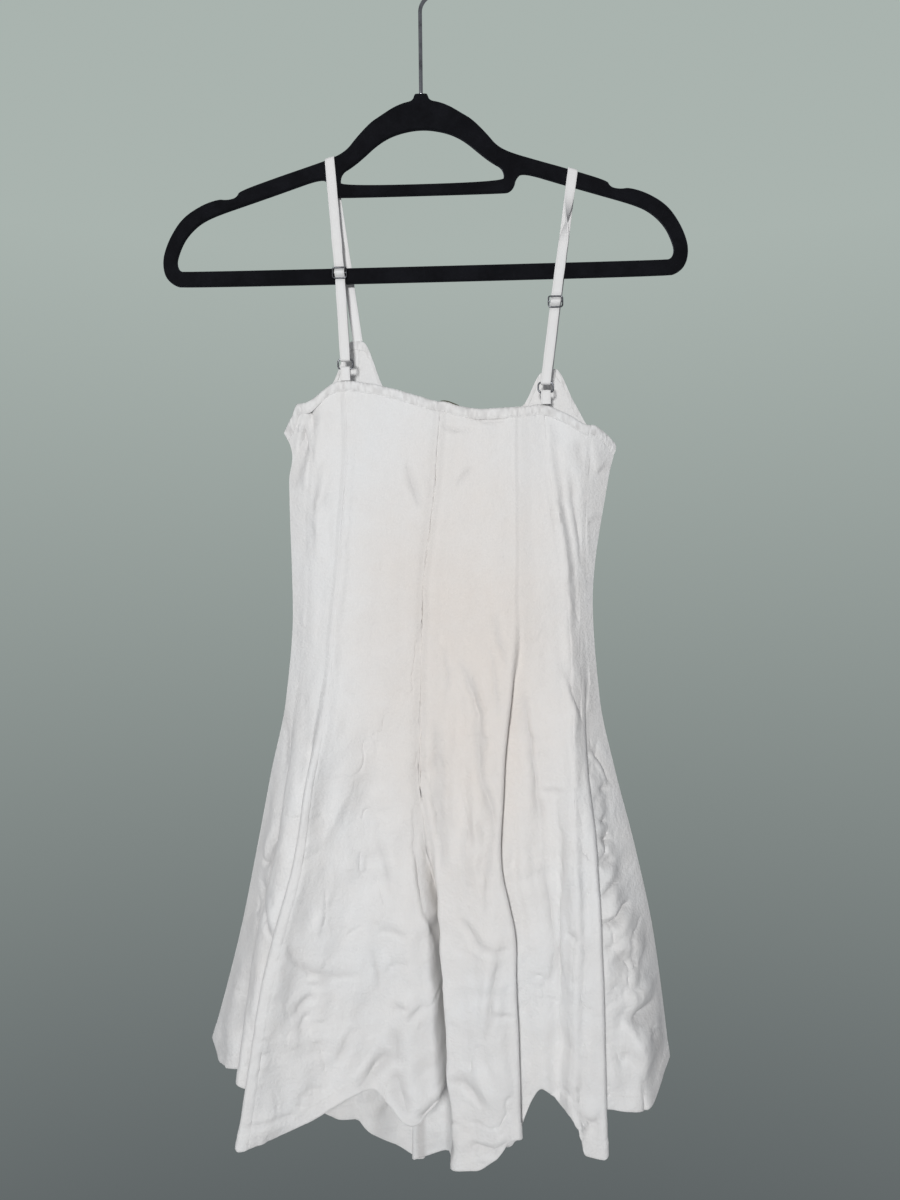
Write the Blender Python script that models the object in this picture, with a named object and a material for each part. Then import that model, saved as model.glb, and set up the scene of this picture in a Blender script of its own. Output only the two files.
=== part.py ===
"""Playsuit with narrow straps, seen from its back, on a flocked clothes hanger.

The origin is the inner top of the hook, where a rail carries it. X runs along the hanger,
the back of the garment faces -Y, and Z points up. Tables are in millimetres.
"""

import math

import bmesh
import bpy
import numpy as np

MM = 0.001

# Cloth
CLOTH = 1.2
HEM_CLOTH = 1.9
HEM_TURN = 12.0
BAND_CLOTH = 2.1
BAND_HEIGHT = 8.5
BINDING_HEIGHT = 7.0
SEAM_GAP = 0.3
PANEL_ROWS = 20
MOST_PULL = 0.6
SHARP_ANGLE = math.radians(50)

# Crotch and the parting between the legs
CROTCH = -838.0
PARTING_START = -742.0
PARTING_LEFT = 38.0
PARTING_RIGHT = 22.0
LEG_GAP = 3.0
LEG_GAP_GROWTH = 40.0
PARTING_GAP = 1.9

# Pleats: a wall that turns back on itself round two bends
PLEAT_BEND = 2.5
PLEAT_TURN = math.radians(158)
PLEAT_GROWTH = 150.0
PLEAT_FADE = 55.0
PLEAT_START_ARC = 1.0
PLEAT_STEPS = 24
PLEAT_CELLS = 6
# Length of hem that a pleat takes up, and the short step where a hem changes height at a seam
PLEAT_SHARE = 12.0
HEM_JUMP = 0.01

# Where the front and back walls part from the side seams
SIDE_ROUND = 42.0
CELL_WIDTH = 17.0

# Heights that the x positions in the two line tables belong to
LEVELS = (-385, -430, -450, -560, -640, -700, -765, -840, -1000)
BACK_DEPTH = (11, 13, 14, 17, 21, 26, 31, 37, 42)
FRONT_DEPTH = (11, 13, 15, 18, 21, 24, 27, 30, 33)

# Lines that run down the back from left to right. Kind is side, plain, ridge, pleat, or seam.
# Size is a ridge's half width or the length of a pleat's returning cloth. Rise is a ridge's
# height, or 1 where the cloth right of a pleat lies on top and -1 where the left does.
# Start is the height where it begins, top and hem are heights of the edges, hem before and
# after a pleat. The last nine columns are x at each of LEVELS.
# name, kind, size, rise, start, top, hem, hem after, x at the nine levels
BACK_LINES = (
    ("side_left", "side", 0, 0, 0, -408, -931, -931,
     -133, -114, -117, -115, -122, -135, -148, -164, -209),
    ("wing_left", "plain", 0, 0, 0, -396, -941, -941,
     -117, -103, -105, -106, -112, -122, -135, -151, -193),
    ("strip_edge", "pleat", 6, 1, -600, -386, -936, -945,
     -106, -97, -98, -100, -111, -117, -126, -144, -160),
    ("fold_left", "pleat", 8, 1, -600, -368, -952, -990,
     -70, -69, -70, -80, -88, -97, -107, -127, -154),
    ("princess_left", "seam", 8, 1.5, -385, -368, -989, -989,
     -66, -65, -66, -75, -83, -91, -100, -119, -145),
    ("leg_left_outer", "ridge", 24, 3, -640, -370, -979, -979,
     -48, -48, -49, -55, -60, -65, -72, -88, -107),
    ("leg_left_hollow", "ridge", 22, -5, -780, -375, -953, -953,
     -28, -28, -29, -33, -37, -40, -42, -45, -46),
    ("leg_left_drop", "ridge", 16, 4, -760, -382, -979, -979,
     -4, -6, -8, -17, -19, -20, -17, -14, -13),
    ("centre", "seam", 9, -1.5, -400, -387, -958, -1016,
     15, 11, 10, -3, -6, -6, 2, 12, 22),
    ("lobe_low", "ridge", 14, 3, -760, -391, -1017, -1017,
     30, 27, 26, 12, 10, 10, 19, 28, 38),
    ("lobe_middle", "ridge", 20, 4, -700, -394, -1001, -1001,
     50, 48, 47, 38, 34, 32, 34, 46, 54),
    ("lobe_edge", "pleat", 9, -1, -540, -393, -984, -996,
     80, 79, 79, 76, 69, 63, 60, 71, 74),
    ("strip_right", "ridge", 12, 3, -560, -392, -950, -950,
     91, 91, 91, 91, 87, 84, 83, 90, 92),
    ("valley_right", "ridge", 12, -4, -640, -391, -962, -962,
     96, 98, 99, 106, 106, 105, 106, 109, 105),
    ("princess_right", "seam", 9, 3, -400, -392, -968, -968,
     101, 104, 106, 118, 121, 120, 119, 118, 115),
    ("lobe_small", "plain", 0, 0, 0, -400, -996, -996,
     122, 120, 121, 127, 127, 126, 129, 130, 126),
    ("side_edge", "pleat", 8, -1, -560, -409, -999, -966,
     144, 139, 137, 132, 131, 132, 138, 140, 142),
    ("wing_right", "ridge", 20, 4, -700, -416, -968, -968,
     157, 152, 148, 137, 140, 148, 160, 171, 178),
    ("side_right", "side", 0, 0, 0, -424, -944, -944,
     170, 161, 156, 141, 146, 158, 174, 189, 207),
)

FRONT_LINES = (
    ("side_left", "side", 0, 0, 0, -408, -931, -931,
     -133, -114, -117, -115, -122, -135, -148, -164, -209),
    ("pleat_left", "pleat", 7, 1, -600, -389, -978, -990,
     -103, -92, -95, -98, -106, -116, -126, -140, -158),
    ("armhole_left", "ridge", 20, 4, -640, -366, -1010, -1010,
     -82, -80, -81, -86, -90, -94, -100, -108, -118),
    ("apex_left_out", "plain", 0, 0, 0, -328, -1016, -1016,
     -63, -67, -69, -76, -78, -80, -82, -85, -90),
    ("princess_left", "seam", 10, 3, -360, -328, -1019, -1019,
     -58, -60, -62, -68, -70, -71, -70, -70, -70),
    ("apex_left_in", "plain", 0, 0, 0, -329, -1030, -1030,
     -54, -50, -52, -57, -59, -60, -60, -59, -58),
    ("neck_left", "ridge", 20, 4, -700, -370, -1046, -1046,
     -36, -34, -35, -40, -42, -43, -42, -40, -38),
    ("fold_centre", "pleat", 7, -1, -680, -402, -1058, -1054,
     -10, -10, -11, -18, -20, -20, -18, -14, -12),
    ("centre", "seam", 9, -1.5, -440, -428, -1038, -1010,
     18, 14, 12, -3, -6, -6, 2, 12, 22),
    ("neck_low_right", "ridge", 20, 3, -620, -414, -1002, -1002,
     52, 48, 46, 36, 34, 32, 36, 44, 52),
    ("fold_right", "pleat", 7, 1, -620, -388, -990, -982,
     80, 76, 74, 62, 60, 60, 64, 72, 84),
    ("apex_right_in", "plain", 0, 0, 0, -359, -974, -974,
     101, 98, 96, 86, 86, 88, 92, 100, 108),
    ("princess_right", "seam", 10, 3, -380, -356, -972, -972,
     107, 104, 103, 96, 97, 100, 106, 114, 122),
    ("apex_right_out", "plain", 0, 0, 0, -356, -970, -970,
     113, 111, 110, 105, 107, 111, 118, 126, 134),
    ("armhole_right", "ridge", 20, 4, -660, -387, -966, -966,
     130, 127, 125, 118, 121, 127, 136, 146, 156),
    ("pleat_right", "pleat", 7, -1, -620, -409, -968, -960,
     150, 144, 141, 129, 133, 142, 154, 166, 178),
    ("side_right", "side", 0, 0, 0, -424, -944, -944,
     170, 161, 156, 141, 146, 158, 174, 189, 207),
)
LINE_COLUMNS = ("name", "kind", "size", "rise", "start", "top", "hem", "hem_after")

# Hanger: half outline as (half width, drop below the arch's top), symmetric about x = 0
ARCH_TOP = -126.0
HANGER_THICKNESS = 5.5
HANGER_EDGE = 1.5
COLLAR = ((4.0, -5.5), (5.6, -5.0), (7.2, 0.4))
ARM_TOP = (
    (16, 2.2), (25, 6), (36, 13), (44, 18), (56.5, 31), (64, 40.6), (75, 47), (100, 55), (125, 62.7),
    (158, 73.7), (159.5, 77.5), (163, 80), (170, 81), (176, 80), (191, 84.7), (208, 95.5),
    (218.5, 111), (224.5, 126), (225.5, 137), (223, 147), (216.5, 153), (208, 155.5),
)
ARCH_UNDER = ((0, 24), (21.3, 27.6), (36.5, 35.1), (51.8, 48.6), (61, 55.5), (68, 59.4))
ARM_UNDER = (
    (86, 63.8), (120, 75), (150, 84.5), (181.9, 94.5), (195.4, 101.9), (206.5, 113.7), (212.5, 127.8),
    (213.6, 135), (211, 141), (206, 142.5),
)
RISER = ((70.5, 66.0), (69.0, 72.0), (80.5, 69.0), (79.0, 76.0), (75.0, 80.2), (70.0, 81.2))

# Hook
WIRE = 3.3
HOOK_RADIUS = 20.0
HOOK_FILLET = 15.0
HOOK_STEM_TOP = 76.0
HOOK_BEND = math.radians(64.6)
HOOK_SWEEP = math.radians(225)

# Straps: width, cloth, and where they pass the hanger and end
STRAP_WIDTH = 8.5
STRAP_CLOTH = 1.1
STRAP_GAP = 0.35
STRAP_STEP = 6.0
STRAP_BOW = 1.0
STRAP_END_BELOW = 3.0
STRAP_LEAN_REACH = 14.0
TAB_SPREAD = 0.9
LOOP_WIDTH = 4.8
LOOP_RADIUS = 2.2
LOOP_TAPER = 9.0
LAYER_STEP = 1.8
RING_RADIUS = 6.0
RING_WIRE = 0.7
RING_ABOVE_BAND = 14.5
SLIDER_WIDTH = 13.2
SLIDER_HEIGHT = 10.4
SLIDER_WIRE = 1.3
SLIDER_WEAVE = 1.85
# Side, x of the cup's point, of the hanger's top, of the slider and of the ring, then the
# slider's height and its distance behind the hanger's middle, and the half turns of the twist
STRAPS = (
    ("left", -58.5, -79.0, -71.2, -66.0, -273.5, 5.6, 0),
    ("right", 107.0, 128.5, 112.4, 103.0, -303.0, 7.0, 1),
)
TWIST_TOP = -203.0
TWIST_LENGTH = 62.0
LABEL_MIDDLE = 22.0
LABEL_WIDTH = 16.0
LABEL_BELOW = 6.5
LABEL_SHOWS = 1.6
LABEL_CLOTH = 0.8

WHITE_COTTON = ((0.86, 0.85, 0.84), 0.85, 0.0)
BLACK_FLOCK = ((0.012, 0.012, 0.014), 0.95, 0.0)
CHROME = ((0.72, 0.72, 0.74), 0.22, 1.0)
OLIVE = ((0.10, 0.10, 0.05), 0.8, 0.0)


def clear_scene():
    for obj in list(bpy.data.objects):
        bpy.data.objects.remove(obj, do_unlink=True)


def material(name, look):
    colour, roughness, metallic = look
    made = bpy.data.materials.new(name)
    made.use_nodes = True
    shader = made.node_tree.nodes["Principled BSDF"]
    shader.inputs["Base Color"].default_value = (*colour, 1.0)
    shader.inputs["Roughness"].default_value = roughness
    shader.inputs["Metallic"].default_value = metallic
    return made


def smooth_step(value):
    value = np.clip(value, 0.0, 1.0)
    return value * value * (3.0 - 2.0 * value)


def smooth_curve(keys, values, at):
    """Cubic curve through the points that never overshoots them, with its ends held."""
    keys = np.asarray(keys, float)
    values = np.asarray(values, float)
    if keys[0] > keys[-1]:
        keys, values = keys[::-1], values[::-1]
    steps = np.diff(keys)
    slopes = np.diff(values) / steps
    product = slopes[1:] * slopes[:-1]
    inner = np.where(product > 0, 2 * product / (slopes[1:] + slopes[:-1] + 1e-12), 0)
    tangents = np.concatenate([slopes[:1], inner, slopes[-1:]])
    at = np.clip(at, keys[0], keys[-1])
    cell = np.clip(np.searchsorted(keys, at, side="right") - 1, 0, len(steps) - 1)
    t = (at - keys[cell]) / steps[cell]
    return (
        values[cell] * (1 + 2 * t) * (1 - t) ** 2
        + tangents[cell] * steps[cell] * t * (1 - t) ** 2
        + values[cell + 1] * t * t * (3 - 2 * t)
        + tangents[cell + 1] * steps[cell] * t * t * (t - 1)
    )


def parting(height):
    """How far the legs have parted at each height, from 0 to 1 at the crotch."""
    return smooth_step((PARTING_START - height) / (PARTING_START - CROTCH))


def line_rows(table):
    """Each table row as a dictionary, with its x positions under the key x."""
    count = len(LINE_COLUMNS)
    return [dict(zip(LINE_COLUMNS, row[:count]), x=row[count:]) for row in table]


def line_x(line, height):
    return smooth_curve(LEVELS, line["x"], height)


def pleat_walk(line, height):
    """Sideways and downward travel round a pleat at each height, on a new last axis.

    The wall turns by an angle over one bend, runs back, and turns straight again.
    """
    grow = smooth_step((line["start"] - height) / PLEAT_GROWTH)[..., None]
    angle = PLEAT_TURN * grow
    arc = PLEAT_START_ARC + grow * (PLEAT_BEND * PLEAT_TURN - PLEAT_START_ARC)
    back = PLEAT_START_ARC + grow * (line["size"] - PLEAT_START_ARC)
    middle = (np.arange(PLEAT_STEPS) + 0.5) / PLEAT_STEPS
    third = np.clip(middle * 3, 0, 1), np.clip((1 - middle) * 3, 0, 1)
    step = np.where((middle > 1 / 3) & (middle < 2 / 3), back, arc) * 3 / PLEAT_STEPS
    turn = angle * np.minimum(*third)
    start = np.zeros(np.shape(height) + (1,))
    across = np.concatenate([start, np.cumsum(np.cos(turn) * step, axis=-1)], axis=-1)
    down = np.concatenate([start, np.cumsum(np.sin(turn) * step, axis=-1)], axis=-1)
    return across, down


def pleat_points(line, height):
    """x and rise of the pleat's own columns. Height has one column for each of them."""
    across, down = pleat_walk(line, height)
    edge = line_x(line, height)
    columns = np.linspace(0, PLEAT_STEPS, PLEAT_CELLS + 1).astype(int)
    reach = np.minimum(across.max(axis=-1), PLEAT_BEND)
    full = down[..., -1]
    taken = columns if line["rise"] < 0 else PLEAT_STEPS - columns
    number = np.arange(len(columns))
    walked = across[:, number, taken]
    fallen = down[:, number, taken]
    x = edge - reach + walked if line["rise"] < 0 else edge + reach - walked
    return x, full - fallen


def pleat_edges(line, height):
    """x where the pleat starts and ends, and how far it steps up, at each height."""
    across, down = pleat_walk(line, height)
    edge = line_x(line, height)
    reach = np.minimum(across.max(axis=-1), PLEAT_BEND)
    far = across[..., -1]
    if line["rise"] < 0:
        return edge - reach, edge - reach + far, down[..., -1]
    return edge + reach - far, edge + reach, down[..., -1]


class Layer:
    """One side of the garment as a grid of points, rows from its top to its hem."""

    def __init__(self, table, depth, facing, edge_height):
        self.lines = line_rows(table)
        self.depth = depth
        self.facing = facing
        self.edge_height = edge_height
        self.build_columns()

    def build_columns(self):
        """Column numbers: each is (line, line after, fraction between them) or a pleat's own."""
        self.columns = []
        self.at_line = {}
        for number, line in enumerate(self.lines):
            self.at_line[line["name"]] = len(self.columns)
            if line["kind"] == "pleat":
                self.columns += [(number, "pleat", cell / PLEAT_CELLS) for cell in range(PLEAT_CELLS + 1)]
            else:
                self.columns.append((number, "line", 0.0))
            if number + 1 < len(self.lines):
                gap = abs(self.lines[number + 1]["x"][-2] - line["x"][-2])
                cells = max(1, round(gap / CELL_WIDTH))
                self.columns += [(number, "span", cell / cells) for cell in range(1, cells)]

    def edges(self):
        """Height of the top edge and of the hem at each column, as smooth curves."""
        place = []
        keys = []
        tops = []
        hems = []
        travelled = 0.0
        for number, line in enumerate(self.lines):
            begin = travelled
            keys.append(travelled)
            tops.append(line["top"])
            hems.append(line["hem"])
            if line["kind"] == "pleat" or line["hem"] != line["hem_after"]:
                travelled += PLEAT_SHARE if line["kind"] == "pleat" else HEM_JUMP
                keys.append(travelled)
                tops.append(line["top"])
                hems.append(line["hem_after"])
            place.append((begin, travelled))
            if number + 1 < len(self.lines):
                travelled += abs(self.lines[number + 1]["x"][-2] - line["x"][-2]) + 1.0
        at = []
        for number, sort, fraction in self.columns:
            begin, end = place[number]
            if sort == "pleat":
                at.append(begin + (end - begin) * fraction)
            elif sort == "span":
                at.append(end + (place[number + 1][0] - end) * fraction)
            else:
                at.append(end)
        return smooth_curve(keys, tops, at), smooth_curve(keys, hems, at)

    def points_at(self, height):
        """The inner face where each column has the heights given, one column of them for each."""
        x = np.zeros_like(height)
        rise = np.zeros_like(height)
        position = 0
        for number, line in enumerate(self.lines):
            if line["kind"] == "pleat":
                cells = slice(position, position + PLEAT_CELLS + 1)
                x[:, cells], rise[:, cells] = pleat_points(line, height[:, cells])
                position += PLEAT_CELLS + 1
            else:
                x[:, position] = line_x(line, height[:, position])
                position += 1
            if number + 1 < len(self.lines):
                after = self.lines[number + 1]
                while position < len(self.columns) and self.columns[position][1] == "span":
                    z = height[:, position]
                    begin = pleat_edges(line, z)[1] if line["kind"] == "pleat" else line_x(line, z)
                    end = pleat_edges(after, z)[0] if after["kind"] == "pleat" else line_x(after, z)
                    x[:, position] = begin + (end - begin) * self.columns[position][2]
                    position += 1
        for line in self.lines:
            rise += self.lift(line, x, height)
        return self.laid(x, rise, height)

    def lift(self, line, x, height):
        """What one ridge or pleat adds to the distance from the middle of the garment."""
        centre = line_x(line, height)
        if line["kind"] in ("ridge", "seam") and line["size"]:
            grown = smooth_step((line["start"] - height) / PLEAT_GROWTH)
            near = np.clip(np.abs(x - centre) / line["size"], 0, 1)
            return line["rise"] * grown * (1 + np.cos(np.pi * near)) / 2
        if line["kind"] != "pleat":
            return 0.0
        first = self.at_line[line["name"]]
        column = np.arange(x.shape[1])
        on_top = column > first + PLEAT_CELLS if line["rise"] > 0 else column < first
        away = (x - centre) * line["rise"]
        fade = (1 + np.cos(np.pi * np.clip(away / PLEAT_FADE, 0, 1))) / 2
        return np.where(on_top, pleat_edges(line, height)[2] * fade, 0.0)

    def laid(self, x, rise, height):
        left = line_x(self.lines[0], height)
        right = line_x(self.lines[-1], height)
        centre = line_x(self.centre_line(), height)
        depth = smooth_curve(LEVELS, self.depth, height) + rise
        closing = np.sin(np.pi / 2 * np.clip((x - left) / SIDE_ROUND, 0, 1))
        closing = closing * np.sin(np.pi / 2 * np.clip((right - x) / SIDE_ROUND, 0, 1))
        away = np.where(x < centre, (centre - x) / PARTING_LEFT, (x - centre) / PARTING_RIGHT)
        valley = parting(height) * (1 + np.cos(np.pi * np.clip(away, 0, 1))) / 2
        y = self.facing * (SEAM_GAP / 2 + depth * closing * (1 - valley))
        return np.stack([x, y, height], axis=-1)

    def top_height(self, x):
        """Height of the top edge at x."""
        top, _ = self.edges()
        points = self.points_at(top[None, :])
        return float(np.interp(x, points[0, :, 0], top))

    def highest_edge(self, x, width):
        """The highest that the top edge stands under a strip of this width."""
        return max(self.top_height(x + width * share) for share in (-0.5, -0.25, 0.0, 0.25, 0.5))

    def face(self, x, height):
        """y of the inner face near the top, where no pleat has begun."""
        x = np.asarray(x, float)
        height = np.asarray(height, float)
        rise = sum(self.lift(line, x, height) for line in self.lines if line["kind"] in ("ridge", "seam"))
        return self.laid(x, rise, height)[..., 1]

    def centre_line(self):
        return next(line for line in self.lines if line["name"] == "centre")

    def normals(self, points):
        """Directions that face out of the garment, from the grid's two directions."""
        across = np.gradient(points, axis=1)
        down = np.gradient(points, axis=0)
        normal = np.cross(across, down)
        normal /= np.linalg.norm(normal, axis=-1, keepdims=True) + 1e-12
        middle = normal[:, self.at_line["centre"], 1].mean()
        return normal * np.sign(middle * self.facing)

    def facing_out(self, normals, height):
        """Directions that turn straight out of the garment where the legs part."""
        parted = parting(height)[:, None]
        turned = normals * (1 - parted) + np.array([0.0, self.facing, 0.0]) * parted
        return turned / np.linalg.norm(turned, axis=1, keepdims=True)

    def heights(self, rows):
        top, hem = self.edges()
        top = top - self.edge_height - SEAM_GAP
        return top + (hem - top) * np.linspace(0.0, 1.0, rows)[:, None]


def wall_mesh(name, inner, outer, look, smooth=True):
    """A closed wall between two grids of points of the same size."""
    rows, columns = inner.shape[:2]
    points = np.concatenate([inner.reshape(-1, 3), outer.reshape(-1, 3)]) * MM
    number = np.arange(rows * columns).reshape(rows, columns)
    far = number + rows * columns
    quads = [np.stack([number[:-1, :-1], number[1:, :-1], number[1:, 1:], number[:-1, 1:]], -1)]
    quads.append(np.stack([far[:-1, :-1], far[:-1, 1:], far[1:, 1:], far[1:, :-1]], -1))
    rim = np.concatenate([number[0, :], number[1:, -1], number[-1, -2::-1], number[-2:0:-1, 0]])
    after = np.roll(rim, -1)
    outside = rows * columns
    quads.append(np.stack([rim, after, after + outside, rim + outside], -1))
    faces = np.concatenate([quad.reshape(-1, 4) for quad in quads])
    mesh = bpy.data.meshes.new(name)
    mesh.from_pydata(points.tolist(), [], faces.tolist())
    shape = bmesh.new()
    shape.from_mesh(mesh)
    bmesh.ops.recalc_face_normals(shape, faces=shape.faces)
    if shape.calc_volume(signed=True) < 0:
        bmesh.ops.reverse_faces(shape, faces=shape.faces)
    shape.to_mesh(mesh)
    shape.free()
    if smooth:
        mesh.shade_smooth()
        mesh.set_sharp_from_angle(angle=SHARP_ANGLE)
    mesh.materials.append(look)
    obj = bpy.data.objects.new(name, mesh)
    bpy.context.scene.collection.objects.link(obj)
    return obj


def drawn_back(points, first, last, pulls):
    """A panel's columns, with its two edge columns pulled in by the distances in pulls."""
    part = points[:, first : last + 1].copy()
    for edge, inside in ((0, 1), (-1, -2)):
        along = part[:, inside] - part[:, edge]
        length = np.linalg.norm(along, axis=-1, keepdims=True)
        part[:, edge] += along / length * np.minimum(pulls[edge][:, None], MOST_PULL * length)
    return part


def seam_pull(layer, heights, column):
    """Half of the gap at a seam: the two legs stand a little apart below the crotch."""
    pull = np.full(heights.shape[0], SEAM_GAP / 2)
    if column == layer.at_line["centre"]:
        below = smooth_step((CROTCH - heights[:, column]) / LEG_GAP_GROWTH)
        pull = pull + np.maximum(below * (LEG_GAP - SEAM_GAP), parting(heights[:, column]) * PARTING_GAP) / 2
    if column in (0, len(layer.columns) - 1):
        pull = np.zeros_like(pull)
    return pull


def build_panels(layer, names, look):
    """The four long panels of one side, cut apart at the three seams."""
    seams = ["side_left", "princess_left", "centre", "princess_right", "side_right"]
    edges = [layer.at_line[seam] for seam in seams]
    heights = layer.heights(PANEL_ROWS)
    centre = layer.at_line["centre"]
    for index, name in enumerate(names):
        first, last = edges[index], edges[index + 1]
        part_heights = heights.copy()
        if last == centre:
            line = layer.centre_line()
            stretch = (line["hem"] - CROTCH) / (line["hem_after"] - CROTCH)
            below = np.minimum(heights[:, centre] - CROTCH, 0)
            part_heights[:, centre] += below * (stretch - 1)
        points = layer.points_at(part_heights)
        normals = layer.normals(points)
        if last == centre:
            normals[:, centre] = layer.facing_out(normals[:, centre], part_heights[:, centre])
        pulls = (seam_pull(layer, part_heights, first), seam_pull(layer, part_heights, last))
        inner = drawn_back(points, first, last, (pulls[0], pulls[1]))
        from_hem = inner[:, :, 2] - inner[-1:, :, 2]
        thick = np.where(from_hem < HEM_TURN, HEM_CLOTH, CLOTH)[..., None]
        outer = inner + normals[:, first : last + 1] * thick
        wall_mesh(name, inner, outer, look)


def build_edge(layer, name, first, last, tall, look):
    """A narrow strip along the top edge, from one line to another."""
    top, _ = layer.edges()
    heights = np.stack([top, top - tall / 2, top - tall])
    points = layer.points_at(heights)
    normals = layer.normals(points)
    begin, end = layer.at_line[first], layer.at_line[last]
    pull = np.full(3, SEAM_GAP / 2)
    pulls = (pull * (begin > 0), pull * (end < len(layer.columns) - 1))
    inner = drawn_back(points, begin, end, pulls)
    wall_mesh(name, inner, inner + normals[:, begin : end + 1] * BAND_CLOTH, look)


def flat_plate(name, outlines, thickness, edge, look):
    """A plate upright in XZ, from an outline and its holes, with rounded edges."""
    curve = bpy.data.curves.new(name, "CURVE")
    curve.dimensions = "2D"
    curve.fill_mode = "BOTH"
    curve.extrude = (thickness / 2 - edge) * MM
    curve.bevel_depth = edge * MM
    curve.offset = -edge * MM
    curve.bevel_resolution = 1 if edge else 0
    for outline in outlines:
        spline = curve.splines.new("POLY")
        spline.points.add(len(outline) - 1)
        for point, (x, z) in zip(spline.points, outline):
            point.co = (x * MM, z * MM, 0.0, 1.0)
        spline.use_cyclic_u = True
    curve.materials.append(look)
    obj = bpy.data.objects.new(name, curve)
    obj.rotation_euler = (math.pi / 2, 0.0, 0.0)
    bpy.context.scene.collection.objects.link(obj)
    return obj


def both_sides(half):
    """An outline given from its top middle to its lower middle, closed by its mirror image."""
    right = [(x, ARCH_TOP - drop) for x, drop in half]
    left = [(-x, z) for x, z in reversed(right) if x > 0]
    return right + left


def build_hanger(look):
    outer = both_sides(COLLAR + ARM_TOP)
    upper_window = both_sides(ARCH_UNDER + (RISER[0], RISER[1]))
    lower_window = both_sides(tuple(reversed(RISER[2:])) + ARM_UNDER)
    return flat_plate("hanger_body", [outer, upper_window, lower_window], HANGER_THICKNESS, HANGER_EDGE, look)


def build_hook(look):
    """Straight stem, a short bend to the side, then most of a circle over the rail."""
    centre_up = -ARCH_TOP - HOOK_RADIUS + WIRE / 2
    points = [(0.0, up) for up in np.linspace(-COLLAR[0][1] + SEAM_GAP, HOOK_STEM_TOP, 7)]
    for angle in np.linspace(0, HOOK_BEND, 7)[1:]:
        points.append((HOOK_FILLET * (1 - math.cos(angle)), HOOK_STEM_TOP + HOOK_FILLET * math.sin(angle)))
    begin = math.atan2(points[-1][1] - centre_up, points[-1][0])
    for angle in np.linspace(begin, begin + HOOK_SWEEP, 26)[1:]:
        points.append((HOOK_RADIUS * math.cos(angle), centre_up + HOOK_RADIUS * math.sin(angle)))
    curve = bpy.data.curves.new("hook_wire", "CURVE")
    curve.dimensions = "3D"
    curve.bevel_depth = WIRE / 2 * MM
    curve.bevel_resolution = 2
    curve.use_fill_caps = True
    spline = curve.splines.new("POLY")
    spline.points.add(len(points) - 1)
    for point, (x, up) in zip(spline.points, points):
        point.co = (x * MM, 0.0, (ARCH_TOP + up) * MM, 1.0)
    curve.materials.append(look)
    obj = bpy.data.objects.new("hook_wire", curve)
    bpy.context.scene.collection.objects.link(obj)
    return obj


def arm_top(x):
    """Height and slope of the hanger's upper edge under a strap."""
    outline = np.array(COLLAR + ARM_TOP[:12])
    ahead = np.interp(abs(x) + 1, outline[:, 0], outline[:, 1])
    behind = np.interp(abs(x) - 1, outline[:, 0], outline[:, 1])
    slope = (behind - ahead) / 2 * math.copysign(1, x)
    return ARCH_TOP - (ahead + behind) / 2, slope


def arc_points(centre, radius, begin, end, count):
    """Points round a centre given as (y, z), from one angle to another."""
    angles = np.radians(np.linspace(begin, end, count))
    return [(centre[0] + radius * math.cos(angle), centre[1] + radius * math.sin(angle)) for angle in angles]


def ribbon(name, path, sides, widths, look):
    """A flat band along a path. Sides holds the direction across it at each point."""
    path = np.asarray(path, float)
    sides = np.asarray(sides, float)
    sides /= np.linalg.norm(sides, axis=1, keepdims=True)
    out = np.cross(np.gradient(path, axis=0), sides)
    out *= STRAP_CLOTH / 2 / np.linalg.norm(out, axis=1, keepdims=True)
    across = sides * np.asarray(widths)[:, None] / 2
    inner = np.stack([path - across - out, path + across - out], axis=1)
    outer = np.stack([path - across + out, path + across + out], axis=1)
    return wall_mesh(name, inner, outer, look, smooth=False)


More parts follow.
